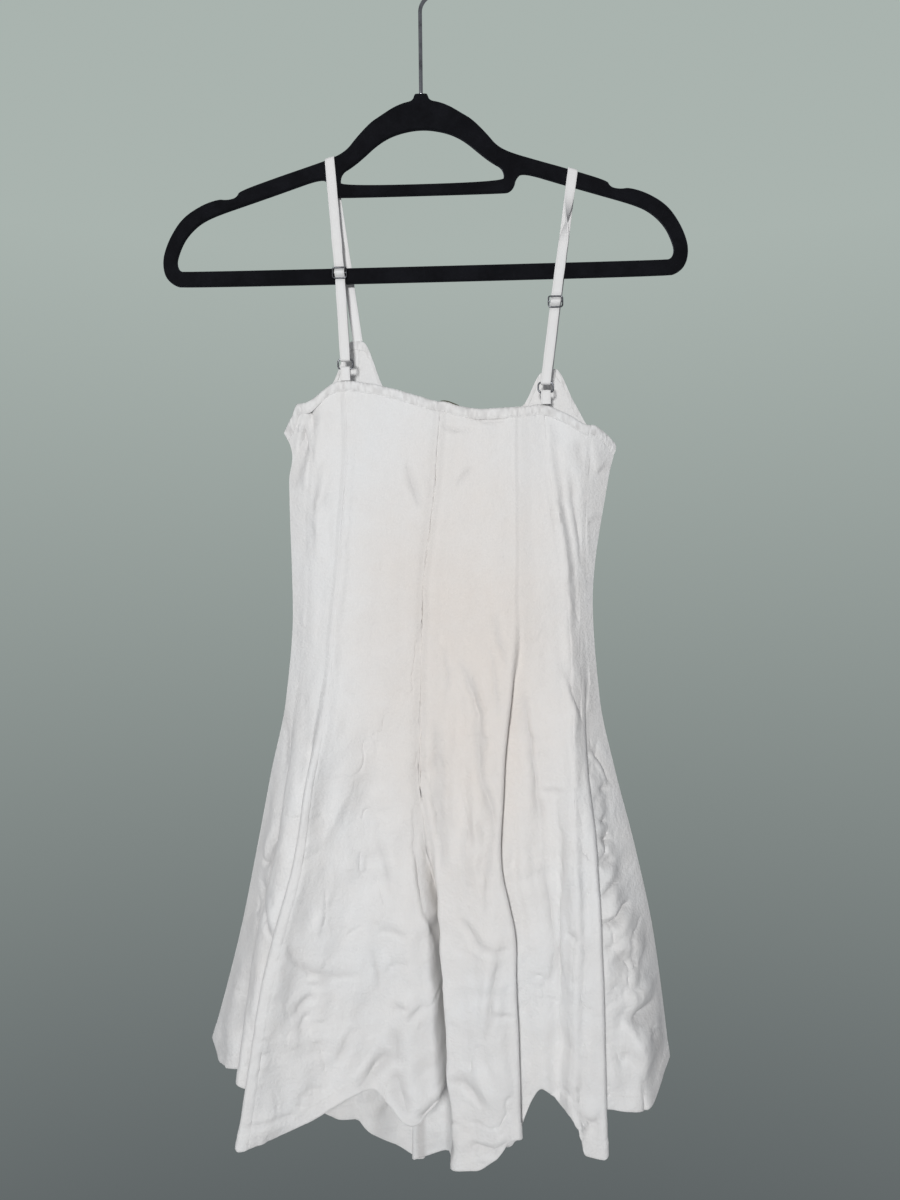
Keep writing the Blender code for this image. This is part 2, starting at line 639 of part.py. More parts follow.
def strap_path(front, back, row):
    """From the cup's point over the hanger, through the slider, round the ring and back up."""
    side, cup_x, top_x, slider_x, ring_x, slider_z, slider_y, half_turns = row
    cup_z = front.highest_edge(cup_x, STRAP_WIDTH)
    cup_y = front.face(cup_x, cup_z) + BAND_CLOTH / 2
    arm_z, slope = arm_top(top_x)
    ring_z = back.highest_edge(ring_x, STRAP_WIDTH) + RING_ABOVE_BAND
    ring_y = back.face(ring_x, ring_z - RING_ABOVE_BAND) - BAND_CLOTH / 2
    clear = STRAP_GAP + STRAP_CLOTH / 2
    bend_z = arm_z - HANGER_EDGE
    front_count = math.ceil((bend_z - cup_z) / STRAP_STEP)
    share = np.linspace(0, 1, front_count)
    front_y = HANGER_THICKNESS / 2 + clear
    start_z = cup_z + STRAP_GAP
    front_x = cup_x + (top_x - cup_x) * share
    bowed_y = cup_y + (front_y - cup_y) * share + 4 * STRAP_BOW * share * (1 - share)
    points = list(zip(front_x, bowed_y, start_z + (bend_z - start_z) * share))
    corner = HANGER_THICKNESS / 2 - HANGER_EDGE
    points += [(top_x, y, z) for y, z in arc_points((corner, bend_z), HANGER_EDGE + clear, 0, 90, 5)[1:]]
    points += [(top_x, y, z) for y, z in arc_points((-corner, bend_z), HANGER_EDGE + clear, 90, 180, 5)]
    over = len(points)
    wire_z = ring_z + RING_RADIUS
    down = [bend_z, slider_z, wire_z]
    down_x = [top_x, slider_x, ring_x]
    down_y = [-front_y, -slider_y, ring_y - LOOP_RADIUS]
    half = SLIDER_HEIGHT / 2
    upper = np.linspace(bend_z, slider_z + half, math.ceil((bend_z - slider_z) / STRAP_STEP))[1:]
    inside = np.linspace(slider_z + half, slider_z - half, 13)[1:]
    lower = np.linspace(slider_z - half, wire_z, math.ceil((slider_z - wire_z) / STRAP_STEP))[1:]
    heights = np.concatenate([upper, inside, lower])
    from_middle = np.abs(heights - slider_z) / (half - SLIDER_WIRE / 2)
    over_bar = -np.cos(np.pi * from_middle)
    beyond = (1 + np.cos(np.pi * (from_middle - 1))) / 2
    weave = SLIDER_WEAVE * np.where(from_middle < 1, over_bar, np.where(from_middle < 2, beyond, 0))
    xs = np.interp(-heights, -np.array(down), down_x)
    ys = smooth_curve(down, down_y, heights) + weave
    points += list(zip(xs, ys, heights))
    points += [(ring_x, y, z) for y, z in arc_points((ring_y, wire_z), LOOP_RADIUS, 180, 360, 9)[1:]]
    end_z = slider_z - half - STRAP_END_BELOW
    back_heights = np.linspace(wire_z, end_z, math.ceil((end_z - wire_z) / STRAP_STEP))[1:]
    climbed = smooth_step((back_heights - wire_z) / (2 * LOOP_TAPER))
    main_y = smooth_curve(down, down_y, back_heights)
    behind = 2 * LOOP_RADIUS + (LAYER_STEP - 2 * LOOP_RADIUS) * climbed
    points += list(zip(np.interp(-back_heights, -np.array(down), down_x), main_y + behind, back_heights))
    points = np.array(points)
    number = np.arange(len(points))
    near_top = np.clip(1 - np.abs(points[:, 2] - arm_z) / STRAP_LEAN_REACH, 0, 1)
    twist = smooth_step((TWIST_TOP - points[:, 2]) / TWIST_LENGTH) * half_turns * math.pi
    turned = np.where(number > over, twist, 0)
    sides = np.stack([np.cos(turned), np.sin(turned), slope * near_top], axis=1)
    close = np.clip(np.abs(points[:, 2] - wire_z) / LOOP_TAPER, 0, 1)
    close = np.where(number > over, close, 1)
    widths = LOOP_WIDTH + (STRAP_WIDTH - LOOP_WIDTH) * smooth_step(close)
    return points, sides, widths, (ring_x, ring_y, ring_z)


def build_tab(name, ring, band_z, look):
    """A short doubled strip that stands on the band and holds the ring's lower wire."""
    ring_x, ring_y, ring_z = ring
    wire_z = ring_z - RING_RADIUS
    foot = band_z + STRAP_GAP
    up = np.linspace(foot, wire_z, 4)
    spread = TAB_SPREAD + (LOOP_RADIUS - TAB_SPREAD) * smooth_step((up - foot) / (wire_z - foot))
    points = [(ring_x, ring_y - apart, z) for apart, z in zip(spread, up)]
    points += [(ring_x, y, z) for y, z in arc_points((ring_y, wire_z), LOOP_RADIUS, 180, 0, 9)[1:-1]]
    points += [(ring_x, ring_y + apart, z) for apart, z in zip(spread[::-1], up[::-1])]
    points = np.array(points)
    narrow = smooth_step((points[:, 2] - foot) / (wire_z - foot))
    widths = STRAP_WIDTH + (LOOP_WIDTH - STRAP_WIDTH) * narrow
    return ribbon(name, points, [(1.0, 0.0, 0.0)] * len(points), widths, look)


def build_ring(name, centre, look):
    bpy.ops.mesh.primitive_torus_add(
        major_radius=RING_RADIUS * MM,
        minor_radius=RING_WIRE * MM,
        major_segments=24,
        minor_segments=6,
        location=[value * MM for value in centre],
        rotation=(math.pi / 2, 0.0, 0.0),
    )
    obj = bpy.context.active_object
    obj.name = name
    obj.data.shade_smooth()
    obj.data.materials.append(look)
    return obj


def rectangle(left, right, low, high):
    return [(left, low), (right, low), (right, high), (left, high)]


def build_slider(name, x, y, z, look):
    """A flat wire frame with a middle bar that the strap passes over."""
    wide, tall = SLIDER_WIDTH / 2, SLIDER_HEIGHT / 2
    wire = SLIDER_WIRE
    outer = rectangle(x - wide, x + wide, z - tall, z + tall)
    above = rectangle(x - wide + wire, x + wide - wire, z + wire / 2, z + tall - wire)
    below = rectangle(x - wide + wire, x + wide - wire, z - tall + wire, z - wire / 2)
    plate = flat_plate(name, [outer, above, below], wire, 0.0, look)
    plate.location.y = y * MM
    return plate


def build_label(layer, look):
    """A small plain label inside the band, with its upper edge standing just above it."""
    x = np.linspace(LABEL_MIDDLE - LABEL_WIDTH / 2, LABEL_MIDDLE + LABEL_WIDTH / 2, 5)
    top = np.array([layer.top_height(value) for value in x])
    heights = np.stack([top + LABEL_SHOWS, top - LABEL_BELOW / 2, top - LABEL_BELOW])
    faces = layer.face(np.broadcast_to(x, heights.shape), np.minimum(heights, top))
    outer = np.stack([np.broadcast_to(x, heights.shape), faces + STRAP_GAP, heights], axis=-1)
    inner = outer + np.array([0.0, LABEL_CLOTH, 0.0])
    return wall_mesh("neck_label", inner, outer, look)


def main():
    clear_scene()
    cotton = material("white_cotton", WHITE_COTTON)
    flock = material("black_flock", BLACK_FLOCK)
    chrome = material("chrome_wire", CHROME)
    olive = material("olive_label", OLIVE)
    back = Layer(BACK_LINES, BACK_DEPTH, -1.0, BAND_HEIGHT)
    front = Layer(FRONT_LINES, FRONT_DEPTH, 1.0, BINDING_HEIGHT)
    build_panels(back, ("side_back_left", "centre_back_left", "centre_back_right", "side_back_right"), cotton)
    build_panels(front, ("side_front_left", "centre_front_left", "centre_front_right", "side_front_right"), cotton)
    build_edge(back, "back_band", "side_left", "side_right", BAND_HEIGHT, cotton)
    build_edge(front, "armhole_binding_left", "side_left", "apex_left_out", BINDING_HEIGHT, cotton)
    build_edge(front, "neckline_binding", "apex_left_out", "apex_right_out", BINDING_HEIGHT, cotton)
    build_edge(front, "armhole_binding_right", "apex_right_out", "side_right", BINDING_HEIGHT, cotton)
    for row in STRAPS:
        side = row[0]
        points, sides, widths, ring = strap_path(front, back, row)
        ribbon(f"strap_{side}", points, sides, widths, cotton)
        build_tab(f"strap_tab_{side}", ring, ring[2] - RING_ABOVE_BAND, cotton)
        build_ring(f"ring_{side}", ring, chrome)
        build_slider(f"slider_{side}", row[3], -row[6], row[5], chrome)
    build_label(back, olive)
    build_hanger(flock)
    build_hook(chrome)


main()
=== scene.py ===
import math

import bmesh
import bpy
import numpy as np
from mathutils import Matrix, Vector


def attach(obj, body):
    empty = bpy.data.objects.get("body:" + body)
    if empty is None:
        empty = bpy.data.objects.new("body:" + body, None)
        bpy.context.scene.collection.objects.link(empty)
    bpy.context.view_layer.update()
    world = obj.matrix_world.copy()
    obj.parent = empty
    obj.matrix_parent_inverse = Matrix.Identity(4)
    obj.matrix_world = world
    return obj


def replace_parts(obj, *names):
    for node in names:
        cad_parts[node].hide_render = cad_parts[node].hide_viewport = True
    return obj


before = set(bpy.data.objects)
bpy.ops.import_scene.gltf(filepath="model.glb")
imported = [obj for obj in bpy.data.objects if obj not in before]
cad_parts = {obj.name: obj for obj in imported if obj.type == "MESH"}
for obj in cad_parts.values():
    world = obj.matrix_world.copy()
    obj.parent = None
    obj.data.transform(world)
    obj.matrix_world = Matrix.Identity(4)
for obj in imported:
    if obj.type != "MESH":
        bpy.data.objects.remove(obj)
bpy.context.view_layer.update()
mm = 0.001
print("frame: loaded", len(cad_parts), "solids")

# Camera, at the place that the photo was taken from

cameraPlace = {
    "middle": (20.0, -554.5),  # x and z of the picture's middle in the hanger's plane, in mm
    "distance": 800.0,
    "turn": 2.3,               # degrees, seen from above
    "roll": 0.65,
    "lens": 28.0,
}


def addObject(name, data):
    made = bpy.data.objects.new(name, data)
    bpy.context.scene.collection.objects.link(made)
    return made


def placeCamera(place):
    # three directions: across the picture, up in it, and back towards the lens, with the roll turned in
    turn, roll = math.radians(place["turn"]), math.radians(place["roll"])
    level = np.array([math.cos(turn), math.sin(turn), 0.0])
    upright = np.array([0.0, 0.0, 1.0])
    back = np.array([math.sin(turn), -math.cos(turn), 0.0])
    across = level * math.cos(roll) - upright * math.sin(roll)
    up = level * math.sin(roll) + upright * math.cos(roll)
    spot = (np.array([place["middle"][0], 0.0, place["middle"][1]]) + back * place["distance"]) * mm
    data = bpy.data.cameras.new("photoCamera")
    data.lens = place["lens"]
    data.clip_start, data.clip_end = 0.02, 20.0
    camera = addObject("photoCamera", data)
    rows = [(*row, part) for row, part in zip(np.stack([across, up, back], 1).tolist(), spot.tolist())]
    camera.matrix_world = Matrix(rows + [(0.0, 0.0, 0.0, 1.0)])
    bpy.context.scene.camera = camera


placeCamera(cameraPlace)
print("camera: placed")

# Small tools for curves, noise and meshes


def smoothStep(value):
    # 3 t^2 - 2 t^3, held at 0 and 1 outside
    value = np.clip(value, 0.0, 1.0)
    return value * value * (3.0 - 2.0 * value)


def smoothCurve(keys, values, at):
    # cubic pieces through the points, with slopes from the harmonic mean of the neighbours, so that it
    # never overshoots
    keys, values = np.asarray(keys, float), np.asarray(values, float)
    if keys[0] > keys[-1]:
        keys, values = keys[::-1], values[::-1]
    steps = np.diff(keys)
    slopes = np.diff(values) / steps
    product = slopes[1:] * slopes[:-1]
    inner = np.where(product > 0, 2 * product / (slopes[1:] + slopes[:-1] + 1e-12), 0)
    tangents = np.concatenate([slopes[:1], inner, slopes[-1:]])
    at = np.clip(at, keys[0], keys[-1])
    cell = np.clip(np.searchsorted(keys, at, side="right") - 1, 0, len(steps) - 1)
    t = (at - keys[cell]) / steps[cell]
    return (
        values[cell] * (1 + 2 * t) * (1 - t) ** 2
        + tangents[cell] * steps[cell] * t * (1 - t) ** 2
        + values[cell + 1] * t * t * (3 - 2 * t)
        + tangents[cell + 1] * steps[cell] * t * t * (t - 1)
    )


def softNoise(x, z, seed):
    # random heights from -1 to 1 on a square lattice, blended between its corners by 6t^5 - 15t^4 + 10t^3
    table = np.random.default_rng(seed).uniform(-1, 1, (97, 97))
    xCell, zCell = np.floor(x).astype(int), np.floor(z).astype(int)
    xPart, zPart = x - xCell, z - zCell
    xPart = xPart ** 3 * (xPart * (6 * xPart - 15) + 10)
    zPart = zPart ** 3 * (zPart * (6 * zPart - 15) + 10)
    xNow, xNext, zNow, zNext = xCell % 97, (xCell + 1) % 97, zCell % 97, (zCell + 1) % 97
    near = table[xNow, zNow] * (1 - xPart) + table[xNext, zNow] * xPart
    far = table[xNow, zNext] * (1 - xPart) + table[xNext, zNext] * xPart
    return near * (1 - zPart) + far * zPart


def meshObject(name, points, faceGroups, material, uv=None, shades=None, sharp=60):
    # points in mm; each face group is an array with one row of corner numbers for each face
    points = np.asarray(points, float).reshape(-1, 3) * mm
    faceGroups = [np.asarray(group, int) for group in faceGroups if len(group)]
    corners = np.concatenate([group.ravel() for group in faceGroups])
    sizes = np.concatenate([np.full(len(group), group.shape[1]) for group in faceGroups])
    starts = np.concatenate([[0], np.cumsum(sizes)[:-1]])
    first = points[faceGroups[0]]
    signed = np.einsum("ij,ij->i", first[:, 0], np.cross(first[:, 1], first[:, 2])).sum()
    if first.shape[1] == 4:
        signed += np.einsum("ij,ij->i", first[:, 0], np.cross(first[:, 2], first[:, 3])).sum()
    if signed < 0:  # the volume inside is negative when the faces point inwards
        faceGroups = [group[:, ::-1] for group in faceGroups]
        corners = np.concatenate([group.ravel() for group in faceGroups])
    mesh = bpy.data.meshes.new(name)
    mesh.vertices.add(len(points))
    mesh.vertices.foreach_set("co", points.ravel())
    mesh.loops.add(len(corners))
    mesh.loops.foreach_set("vertex_index", corners)
    mesh.polygons.add(len(sizes))
    mesh.polygons.foreach_set("loop_start", starts)
    mesh.update(calc_edges=True)
    if uv is not None:
        layer = mesh.uv_layers.new(name="clothUv")
        layer.data.foreach_set("uv", np.asarray(uv, float).reshape(-1, 2)[corners].ravel())
    for shade, values in (shades or {}).items():
        shading = mesh.attributes.new(shade, "FLOAT", "POINT")
        shading.data.foreach_set("value", np.asarray(values, np.float32).ravel())
    mesh.shade_smooth()
    mesh.set_sharp_from_angle(angle=math.radians(sharp))
    mesh.materials.append(material)
    piece = addObject(name, mesh)
    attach(piece, "root")
    return piece


def ringQuads(before, after):
    # quads between each ring of corner numbers and the ring after it, all the way round
    return np.stack([before, np.roll(before, -1, -1), np.roll(after, -1, -1), after], -1).reshape(-1, 4)


def wallFaces(rows, columns):
    # a wall whose rows go down its outer face, round the lower rim, up its inner face and round the upper rim
    total = 2 * rows + 2
    number = np.arange(total * columns).reshape(total, columns)
    below = np.roll(number, -1, axis=0)
    quads = np.stack([number[:, :-1], below[:, :-1], below[:, 1:], number[:, 1:]], -1).reshape(-1, 4)
    down = np.arange(rows - 1)
    sides, rims = [], []
    for column, order in ((0, -1), (columns - 1, 1)):
        side = np.stack([number[down, column], number[down + 1, column],
                         number[2 * rows - down - 1, column], number[2 * rows - down, column]], -1)
        rim = np.array([[number[rows - 1, column], number[rows, column], number[rows + 1, column]],
                        [number[0, column], number[2 * rows, column], number[2 * rows + 1, column]]])
        sides.append(side[:, ::order])
        rims.append(np.stack([rim[0][::order], rim[1][::-order]]))
    return quads, np.concatenate(sides), np.concatenate(rims)


def wallPiece(name, inner, outer, material, uv, shades=None):
    # the rims are rounded: their middle row stands half the cloth's thickness beyond the edge
    rows, columns = inner.shape[:2]
    half = np.linalg.norm(outer - inner, axis=-1, keepdims=True) / 2

    def rim(edge, inside):
        away = (outer[edge] + inner[edge] - outer[inside] - inner[inside]) / 2
        away /= np.linalg.norm(away, axis=-1, keepdims=True) + 1e-9
        return (outer[edge] + inner[edge]) / 2 + away * half[edge]

    points = np.concatenate([outer, rim(-1, -2)[None], inner[::-1], rim(0, 1)[None]])

    def around(values):
        return np.concatenate([values, values[-1:], values[::-1], values[:1]])

    quads, sides, rims = wallFaces(rows, columns)
    corner = outer[0, 0]
    if np.cross(outer[0, 1] - corner, outer[1, 0] - corner) @ (corner - inner[0, 0]) > 0:
        quads, sides, rims = quads[:, ::-1], sides[:, ::-1], rims[:, ::-1]
    shades = {shade: around(values) for shade, values in (shades or {}).items()}
    return meshObject(name, points, [quads, sides, rims], material, around(uv), shades)


def tubePiece(name, paths, radius, sides, material, replaced):
    # circles of one radius carried along flat paths in XZ; a path that ends where it starts is closed
    points, quads, caps, count = [], [], [], 0
    angles = np.linspace(0, 2 * np.pi, sides, endpoint=False)
    for path in paths:
        path = np.asarray(path, float)
        closed = np.allclose(path[0], path[-1])
        if closed:
            path = path[:-1]
            tangent = np.roll(path, -1, axis=0) - np.roll(path, 1, axis=0)
        else:
            tangent = np.gradient(path, axis=0)
        tangent /= np.linalg.norm(tangent, axis=1, keepdims=True)
        beside = np.cross(tangent, [0.0, 1.0, 0.0])
        beside /= np.linalg.norm(beside, axis=1, keepdims=True)
        level = np.array([0, 1, 0]) * np.sin(angles)[:, None]
        rings = path[:, None] + radius * (beside[:, None] * np.cos(angles)[:, None] + level)
        if not closed:  # two smaller rings round each end
            inset = np.array([1.0, 0.72, 0.35])[:, None, None]
            reach = np.array([0.0, 0.69, 0.94])[:, None, None] * radius
            start = path[0] + (rings[0] - path[0]) * inset - tangent[0] * reach
            end = path[-1] + (rings[-1] - path[-1]) * inset + tangent[-1] * reach
            rings = np.concatenate([start[::-1], rings[1:-1], end])
        number = count + np.arange(len(rings) * sides).reshape(-1, sides)
        after = np.roll(number, -1, axis=0) if closed else number[1:]
        before = number if closed else number[:-1]
        quads.append(ringQuads(before, after))
        if not closed:
            caps += [number[0], number[-1][::-1]]
        points.append(rings.reshape(-1, 3))
        count += rings.shape[0] * sides
    faceGroups = [np.concatenate(quads)]
    if caps:
        faceGroups.append(np.array(caps)[:, ::-1])
    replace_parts(meshObject(name, np.concatenate(points), faceGroups, material), replaced)


# Shader node groups that more than one finish uses


def nodeGroup(name, inputs, outputs):
    tree = bpy.data.node_groups.new(name, "ShaderNodeTree")
    for socketName, socketType, value in inputs:
        socket = tree.interface.new_socket(name=socketName, in_out="INPUT", socket_type=socketType)
        if value is not None:
            socket.default_value = value
    for socketName, socketType in outputs:
        tree.interface.new_socket(name=socketName, in_out="OUTPUT", socket_type=socketType)
    return tree, tree.nodes.new("NodeGroupInput"), tree.nodes.new("NodeGroupOutput")


def node(tree, kind, **settings):
    made = tree.nodes.new("ShaderNode" + kind)
    for key, value in settings.items():
        setattr(made, key, value)
    return made


def math2(tree, operation, first, second=None, third=None):
    made = node(tree, "Math", operation=operation)
    for place, value in enumerate((first, second, third)):
        if value is None:
            continue
        if isinstance(value, (int, float)):
            made.inputs[place].default_value = value
        else:
            tree.links.new(value, made.inputs[place])
    return made.outputs[0]


def makeWeave():
    # threads over and under: sin(u) sin(v), with slubs from noise drawn out along the threads
    tree, given, result = nodeGroup(
        "plainWeave",
        [("Vector", "NodeSocketVector", None), ("Threads", "NodeSocketFloat", 1200.0),
         ("Slub", "NodeSocketFloat", 0.5)],
        [("Height", "NodeSocketFloat"), ("Gap", "NodeSocketFloat")])
    parts = node(tree, "SeparateXYZ")
    tree.links.new(given.outputs["Vector"], parts.inputs[0])
    turns = math2(tree, "MULTIPLY", given.outputs["Threads"], math.pi)
    across = math2(tree, "SINE", math2(tree, "MULTIPLY", parts.outputs[0], turns))
    along = math2(tree, "SINE", math2(tree, "MULTIPLY", parts.outputs[1], turns))
    woven = math2(tree, "MULTIPLY", across, along)
    drawn = node(tree, "Mapping")
    drawn.inputs["Scale"].default_value = (1.0, 0.12, 1.0)
    tree.links.new(given.outputs["Vector"], drawn.inputs["Vector"])
    slubs = node(tree, "TexNoise")
    slubs.inputs["Scale"].default_value = 900.0
    slubs.inputs["Detail"].default_value = 2.0
    tree.links.new(drawn.outputs[0], slubs.inputs["Vector"])
    slub = math2(tree, "MULTIPLY", math2(tree, "SUBTRACT", slubs.outputs[0], 0.5), given.outputs["Slub"])
    height = math2(tree, "MULTIPLY_ADD", woven, 0.5, math2(tree, "MULTIPLY_ADD", slub, 2.0, 0.5))
    tree.links.new(height, result.inputs["Height"])
    tree.links.new(math2(tree, "SUBTRACT", 1.0, height), result.inputs["Gap"])
    return tree


def makeMottle():
    # uneven tone: two sizes of noise, mixed and stretched about the middle
    tree, given, result = nodeGroup(
        "softMottle",
        [("Vector", "NodeSocketVector", None), ("Size", "NodeSocketFloat", 20.0),
         ("Contrast", "NodeSocketFloat", 1.0)],
        [("Value", "NodeSocketFloat")])
    wide, small = node(tree, "TexNoise"), node(tree, "TexNoise")
    for noise, times, detail in ((wide, 1.0, 3.0), (small, 6.0, 4.0)):
        tree.links.new(given.outputs["Vector"], noise.inputs["Vector"])
        tree.links.new(math2(tree, "MULTIPLY", given.outputs["Size"], times), noise.inputs["Scale"])
        noise.inputs["Detail"].default_value = detail
    most = math2(tree, "MULTIPLY", wide.outputs[0], 0.65)
    mixed = math2(tree, "MULTIPLY_ADD", small.outputs[0], 0.35, most)
    spread = math2(tree, "MULTIPLY_ADD", math2(tree, "SUBTRACT", mixed, 0.5), given.outputs["Contrast"], 0.5)
    tree.links.new(spread, result.inputs["Value"])
    return tree


weaveGroup, mottleGroup = makeWeave(), makeMottle()


def newMaterial(name, roughness, metallic=0.0):
    material = bpy.data.materials.new(name)
    material.use_nodes = True
    tree = material.node_tree
    shader = tree.nodes["Principled BSDF"]
    shader.inputs["Roughness"].default_value = roughness
    shader.inputs["Metallic"].default_value = metallic
    return material, tree, shader, node(tree, "TexCoord")


def groupNode(tree, group, vector, **values):
    made = node(tree, "Group", node_tree=group)
    tree.links.new(vector, made.inputs["Vector"])
    for key, value in values.items():
        made.inputs[key].default_value = value
    return made


def mixColour(tree, factor, first, second):
    made = node(tree, "Mix", data_type="RGBA")
    for socket, value in ((made.inputs[0], factor), (made.inputs[6], first), (made.inputs[7], second)):
        if isinstance(value, tuple):
            socket.default_value = (*value, 1.0)
        elif isinstance(value, float):
            socket.default_value = value
        else:
            tree.links.new(value, socket)
    return made.outputs[2]


def mapRange(tree, value, low, high, toLow=0.0, toHigh=1.0):
    made = node(tree, "MapRange")
    tree.links.new(value, made.inputs[0])
    for place, number in enumerate((low, high, toLow, toHigh), 1):
        made.inputs[place].default_value = number
    return made.outputs[0]


def addBump(tree, under, height, distance, strength=1.0):
    # turns a height into the normal that the shader, or the bump above it, starts from
    bump = node(tree, "Bump")
    bump.inputs["Strength"].default_value = strength
    bump.inputs["Distance"].default_value = distance
    tree.links.new(height, bump.inputs["Height"])
    tree.links.new(bump.outputs[0], under.inputs["Normal"])
    return bump


cottonFinish = {
    "cool": (0.86, 0.865, 0.865),
    "warm": (0.83, 0.775, 0.725),
    "shade": (0.60, 0.588, 0.58),     # painted shade in creases, along pressed folds and in the gaps of the weave
    "warmMiddle": (0.035, 0.0, -0.615),
    "warmReach": (0.12, 0.3, 0.26),
    "threads": 1500.0,
    "weaveDepth": 0.00009,
    "crumpleDepth": 0.0016,
}


def cottonMaterial(name, values, threads=1.0, crumple=1.0):
    material, tree, shader, place = newMaterial(name, 0.86)
    shader.inputs["Sheen Weight"].default_value = 0.25
    shader.inputs["Sheen Roughness"].default_value = 0.6
    shader.inputs["Specular IOR Level"].default_value = 0.25
    # a soft warm patch in the middle of the body, broken up by mottling
    patch = node(tree, "Mapping")
    middle, reach = values["warmMiddle"], values["warmReach"]
    patch.inputs["Scale"].default_value = tuple(1 / r for r in reach)
    patch.inputs["Location"].default_value = tuple(-m / r for m, r in zip(middle, reach))
    tree.links.new(place.outputs["Object"], patch.inputs["Vector"])
    ball = node(tree, "TexGradient", gradient_type="SPHERICAL")
    tree.links.new(patch.outputs[0], ball.inputs[0])
    mottle = groupNode(tree, mottleGroup, place.outputs["Object"], Size=16.0, Contrast=1.6)
    inPatch = mapRange(tree, ball.outputs["Fac"], 0.0, 0.8, -0.12, 0.75)
    warmth = math2(tree, "MULTIPLY_ADD", mottle.outputs[0], 0.5, inPatch)
    warmth = math2(tree, "MINIMUM", math2(tree, "MAXIMUM", warmth, 0.0), 1.0)
    tone = mixColour(tree, warmth, values["cool"], values["warm"])
    # painted shade: the fold attribute darkens creases, facet hollows and the cloth under pleat edges
    fold = node(tree, "Attribute", attribute_name="fold")
    paintedShadeMix = mapRange(tree, fold.outputs["Fac"], 0.0, 1.0, 0.0, 0.75)
    tone = mixColour(tree, paintedShadeMix, tone, values["shade"])
    weave = groupNode(tree, weaveGroup, place.outputs["UV"], Threads=values["threads"] * threads, Slub=0.6)
    # painted shade in the gaps between the threads
    gap = mapRange(tree, weave.outputs["Gap"], 0.2, 1.1, 0.0, 0.16)
    tree.links.new(mixColour(tree, gap, tone, values["shade"]), shader.inputs["Base Color"])
    tree.links.new(mapRange(tree, mottle.outputs[0], 0.2, 0.8, 0.8, 0.93), shader.inputs["Roughness"])
    # fine crumple under the weave
    fine = groupNode(tree, mottleGroup, place.outputs["Object"], Size=75.0, Contrast=1.3)
    grain = addBump(tree, shader, weave.outputs["Height"], values["weaveDepth"], 0.7)
    addBump(tree, grain, fine.outputs[0], values["crumpleDepth"] * crumple, 0.8)
    return material


cotton = cottonMaterial("whiteCotton", cottonFinish)
cottonTape = cottonMaterial("whiteCottonTape", cottonFinish, threads=1.2, crumple=0.35)

threadFinish = {"colour": (0.88, 0.875, 0.86), "shade": (0.6, 0.59, 0.57), "depth": 0.00008}


def threadMaterial(values):
    material, tree, shader, place = newMaterial("sewingThread", 0.6)
    ply = node(tree, "TexWave")
    ply.inputs["Scale"].default_value = 900.0
    ply.inputs["Distortion"].default_value = 1.5
    tree.links.new(place.outputs["Object"], ply.inputs["Vector"])
    # painted shade in the grooves between the plies
    between = mapRange(tree, ply.outputs["Fac"], 0.0, 0.6, 0.5, 0.0)
    tree.links.new(mixColour(tree, between, values["colour"], values["shade"]), shader.inputs["Base Color"])
    addBump(tree, shader, ply.outputs["Fac"], values["depth"])
    return material


thread = threadMaterial(threadFinish)

flockFinish = {"deep": (0.0035, 0.0035, 0.0045), "lit": (0.016, 0.017, 0.022), "fibre": 5200.0, "depth": 0.0003}


def flockMaterial(values):
    material, tree, shader, place = newMaterial("blackFlock", 0.95)
    shader.inputs["Sheen Weight"].default_value = 0.35
    shader.inputs["Sheen Roughness"].default_value = 0.35
    shader.inputs["Sheen Tint"].default_value = (0.32, 0.35, 0.45, 1.0)
    shader.inputs["Specular IOR Level"].default_value = 0.1
    fibre = node(tree, "TexNoise")
    fibre.inputs["Scale"].default_value = values["fibre"]
    fibre.inputs["Detail"].default_value = 3.0
    tree.links.new(place.outputs["Object"], fibre.inputs["Vector"])
    rubbed = groupNode(tree, mottleGroup, place.outputs["Object"], Size=35.0, Contrast=2.2)
    tips = mapRange(tree, fibre.outputs[0], 0.35, 0.7)
    light = math2(tree, "MULTIPLY", tips, mapRange(tree, rubbed.outputs[0], 0.25, 0.8, 0.35, 1.0))
    tree.links.new(mixColour(tree, light, values["deep"], values["lit"]), shader.inputs["Base Color"])
    addBump(tree, shader, fibre.outputs[0], values["depth"], 0.9)
    return material


flock = flockMaterial(flockFinish)


def chromeMaterial(name, clean, worn, roughness):
    # polished wire: fine scratches drawn out along it, and a faint tarnish
    material, tree, shader, place = newMaterial(name, roughness, 1.0)
    tarnish = groupNode(tree, mottleGroup, place.outputs["Object"], Size=90.0, Contrast=2.0)
    spots = mapRange(tree, tarnish.outputs[0], 0.45, 0.85)
    tree.links.new(mixColour(tree, spots, clean, worn), shader.inputs["Base Color"])
    scratch = node(tree, "TexNoise")
    scratch.inputs["Scale"].default_value = 2500.0
    tree.links.new(place.outputs["Object"], scratch.inputs["Vector"])
    streaks = mapRange(tree, scratch.outputs[0], 0.3, 0.7, roughness * 0.7, roughness * 1.5)
    tree.links.new(streaks, shader.inputs["Roughness"])
    addBump(tree, shader, scratch.outputs[0], 0.00003, 0.3)
    return material


hookChrome = chromeMaterial("hookChrome", (0.62, 0.63, 0.66), (0.34, 0.34, 0.36), 0.16)
trimChrome = chromeMaterial("trimChrome", (0.16, 0.165, 0.18), (0.06, 0.06, 0.065), 0.26)

labelFinish = {"ground": (0.085, 0.09, 0.06), "thread": (0.2, 0.2, 0.15), "depth": 0.00012}


def labelMaterial(values):
    material, tree, shader, place = newMaterial("oliveLabel", 0.7)
    weave = groupNode(tree, weaveGroup, place.outputs["UV"], Threads=2600.0, Slub=0.3)
    raised = mapRange(tree, weave.outputs["Height"], 0.3, 1.0, 0.0, 0.6)
    tree.links.new(mixColour(tree, raised, values["ground"], values["thread"]), shader.inputs["Base Color"])
    addBump(tree, shader, weave.outputs["Height"], values["depth"])
    return material


olive = labelMaterial(labelFinish)
print("finishes: made")

# The two sides of the garment. Their lines, depths and pleats are those of the solids.

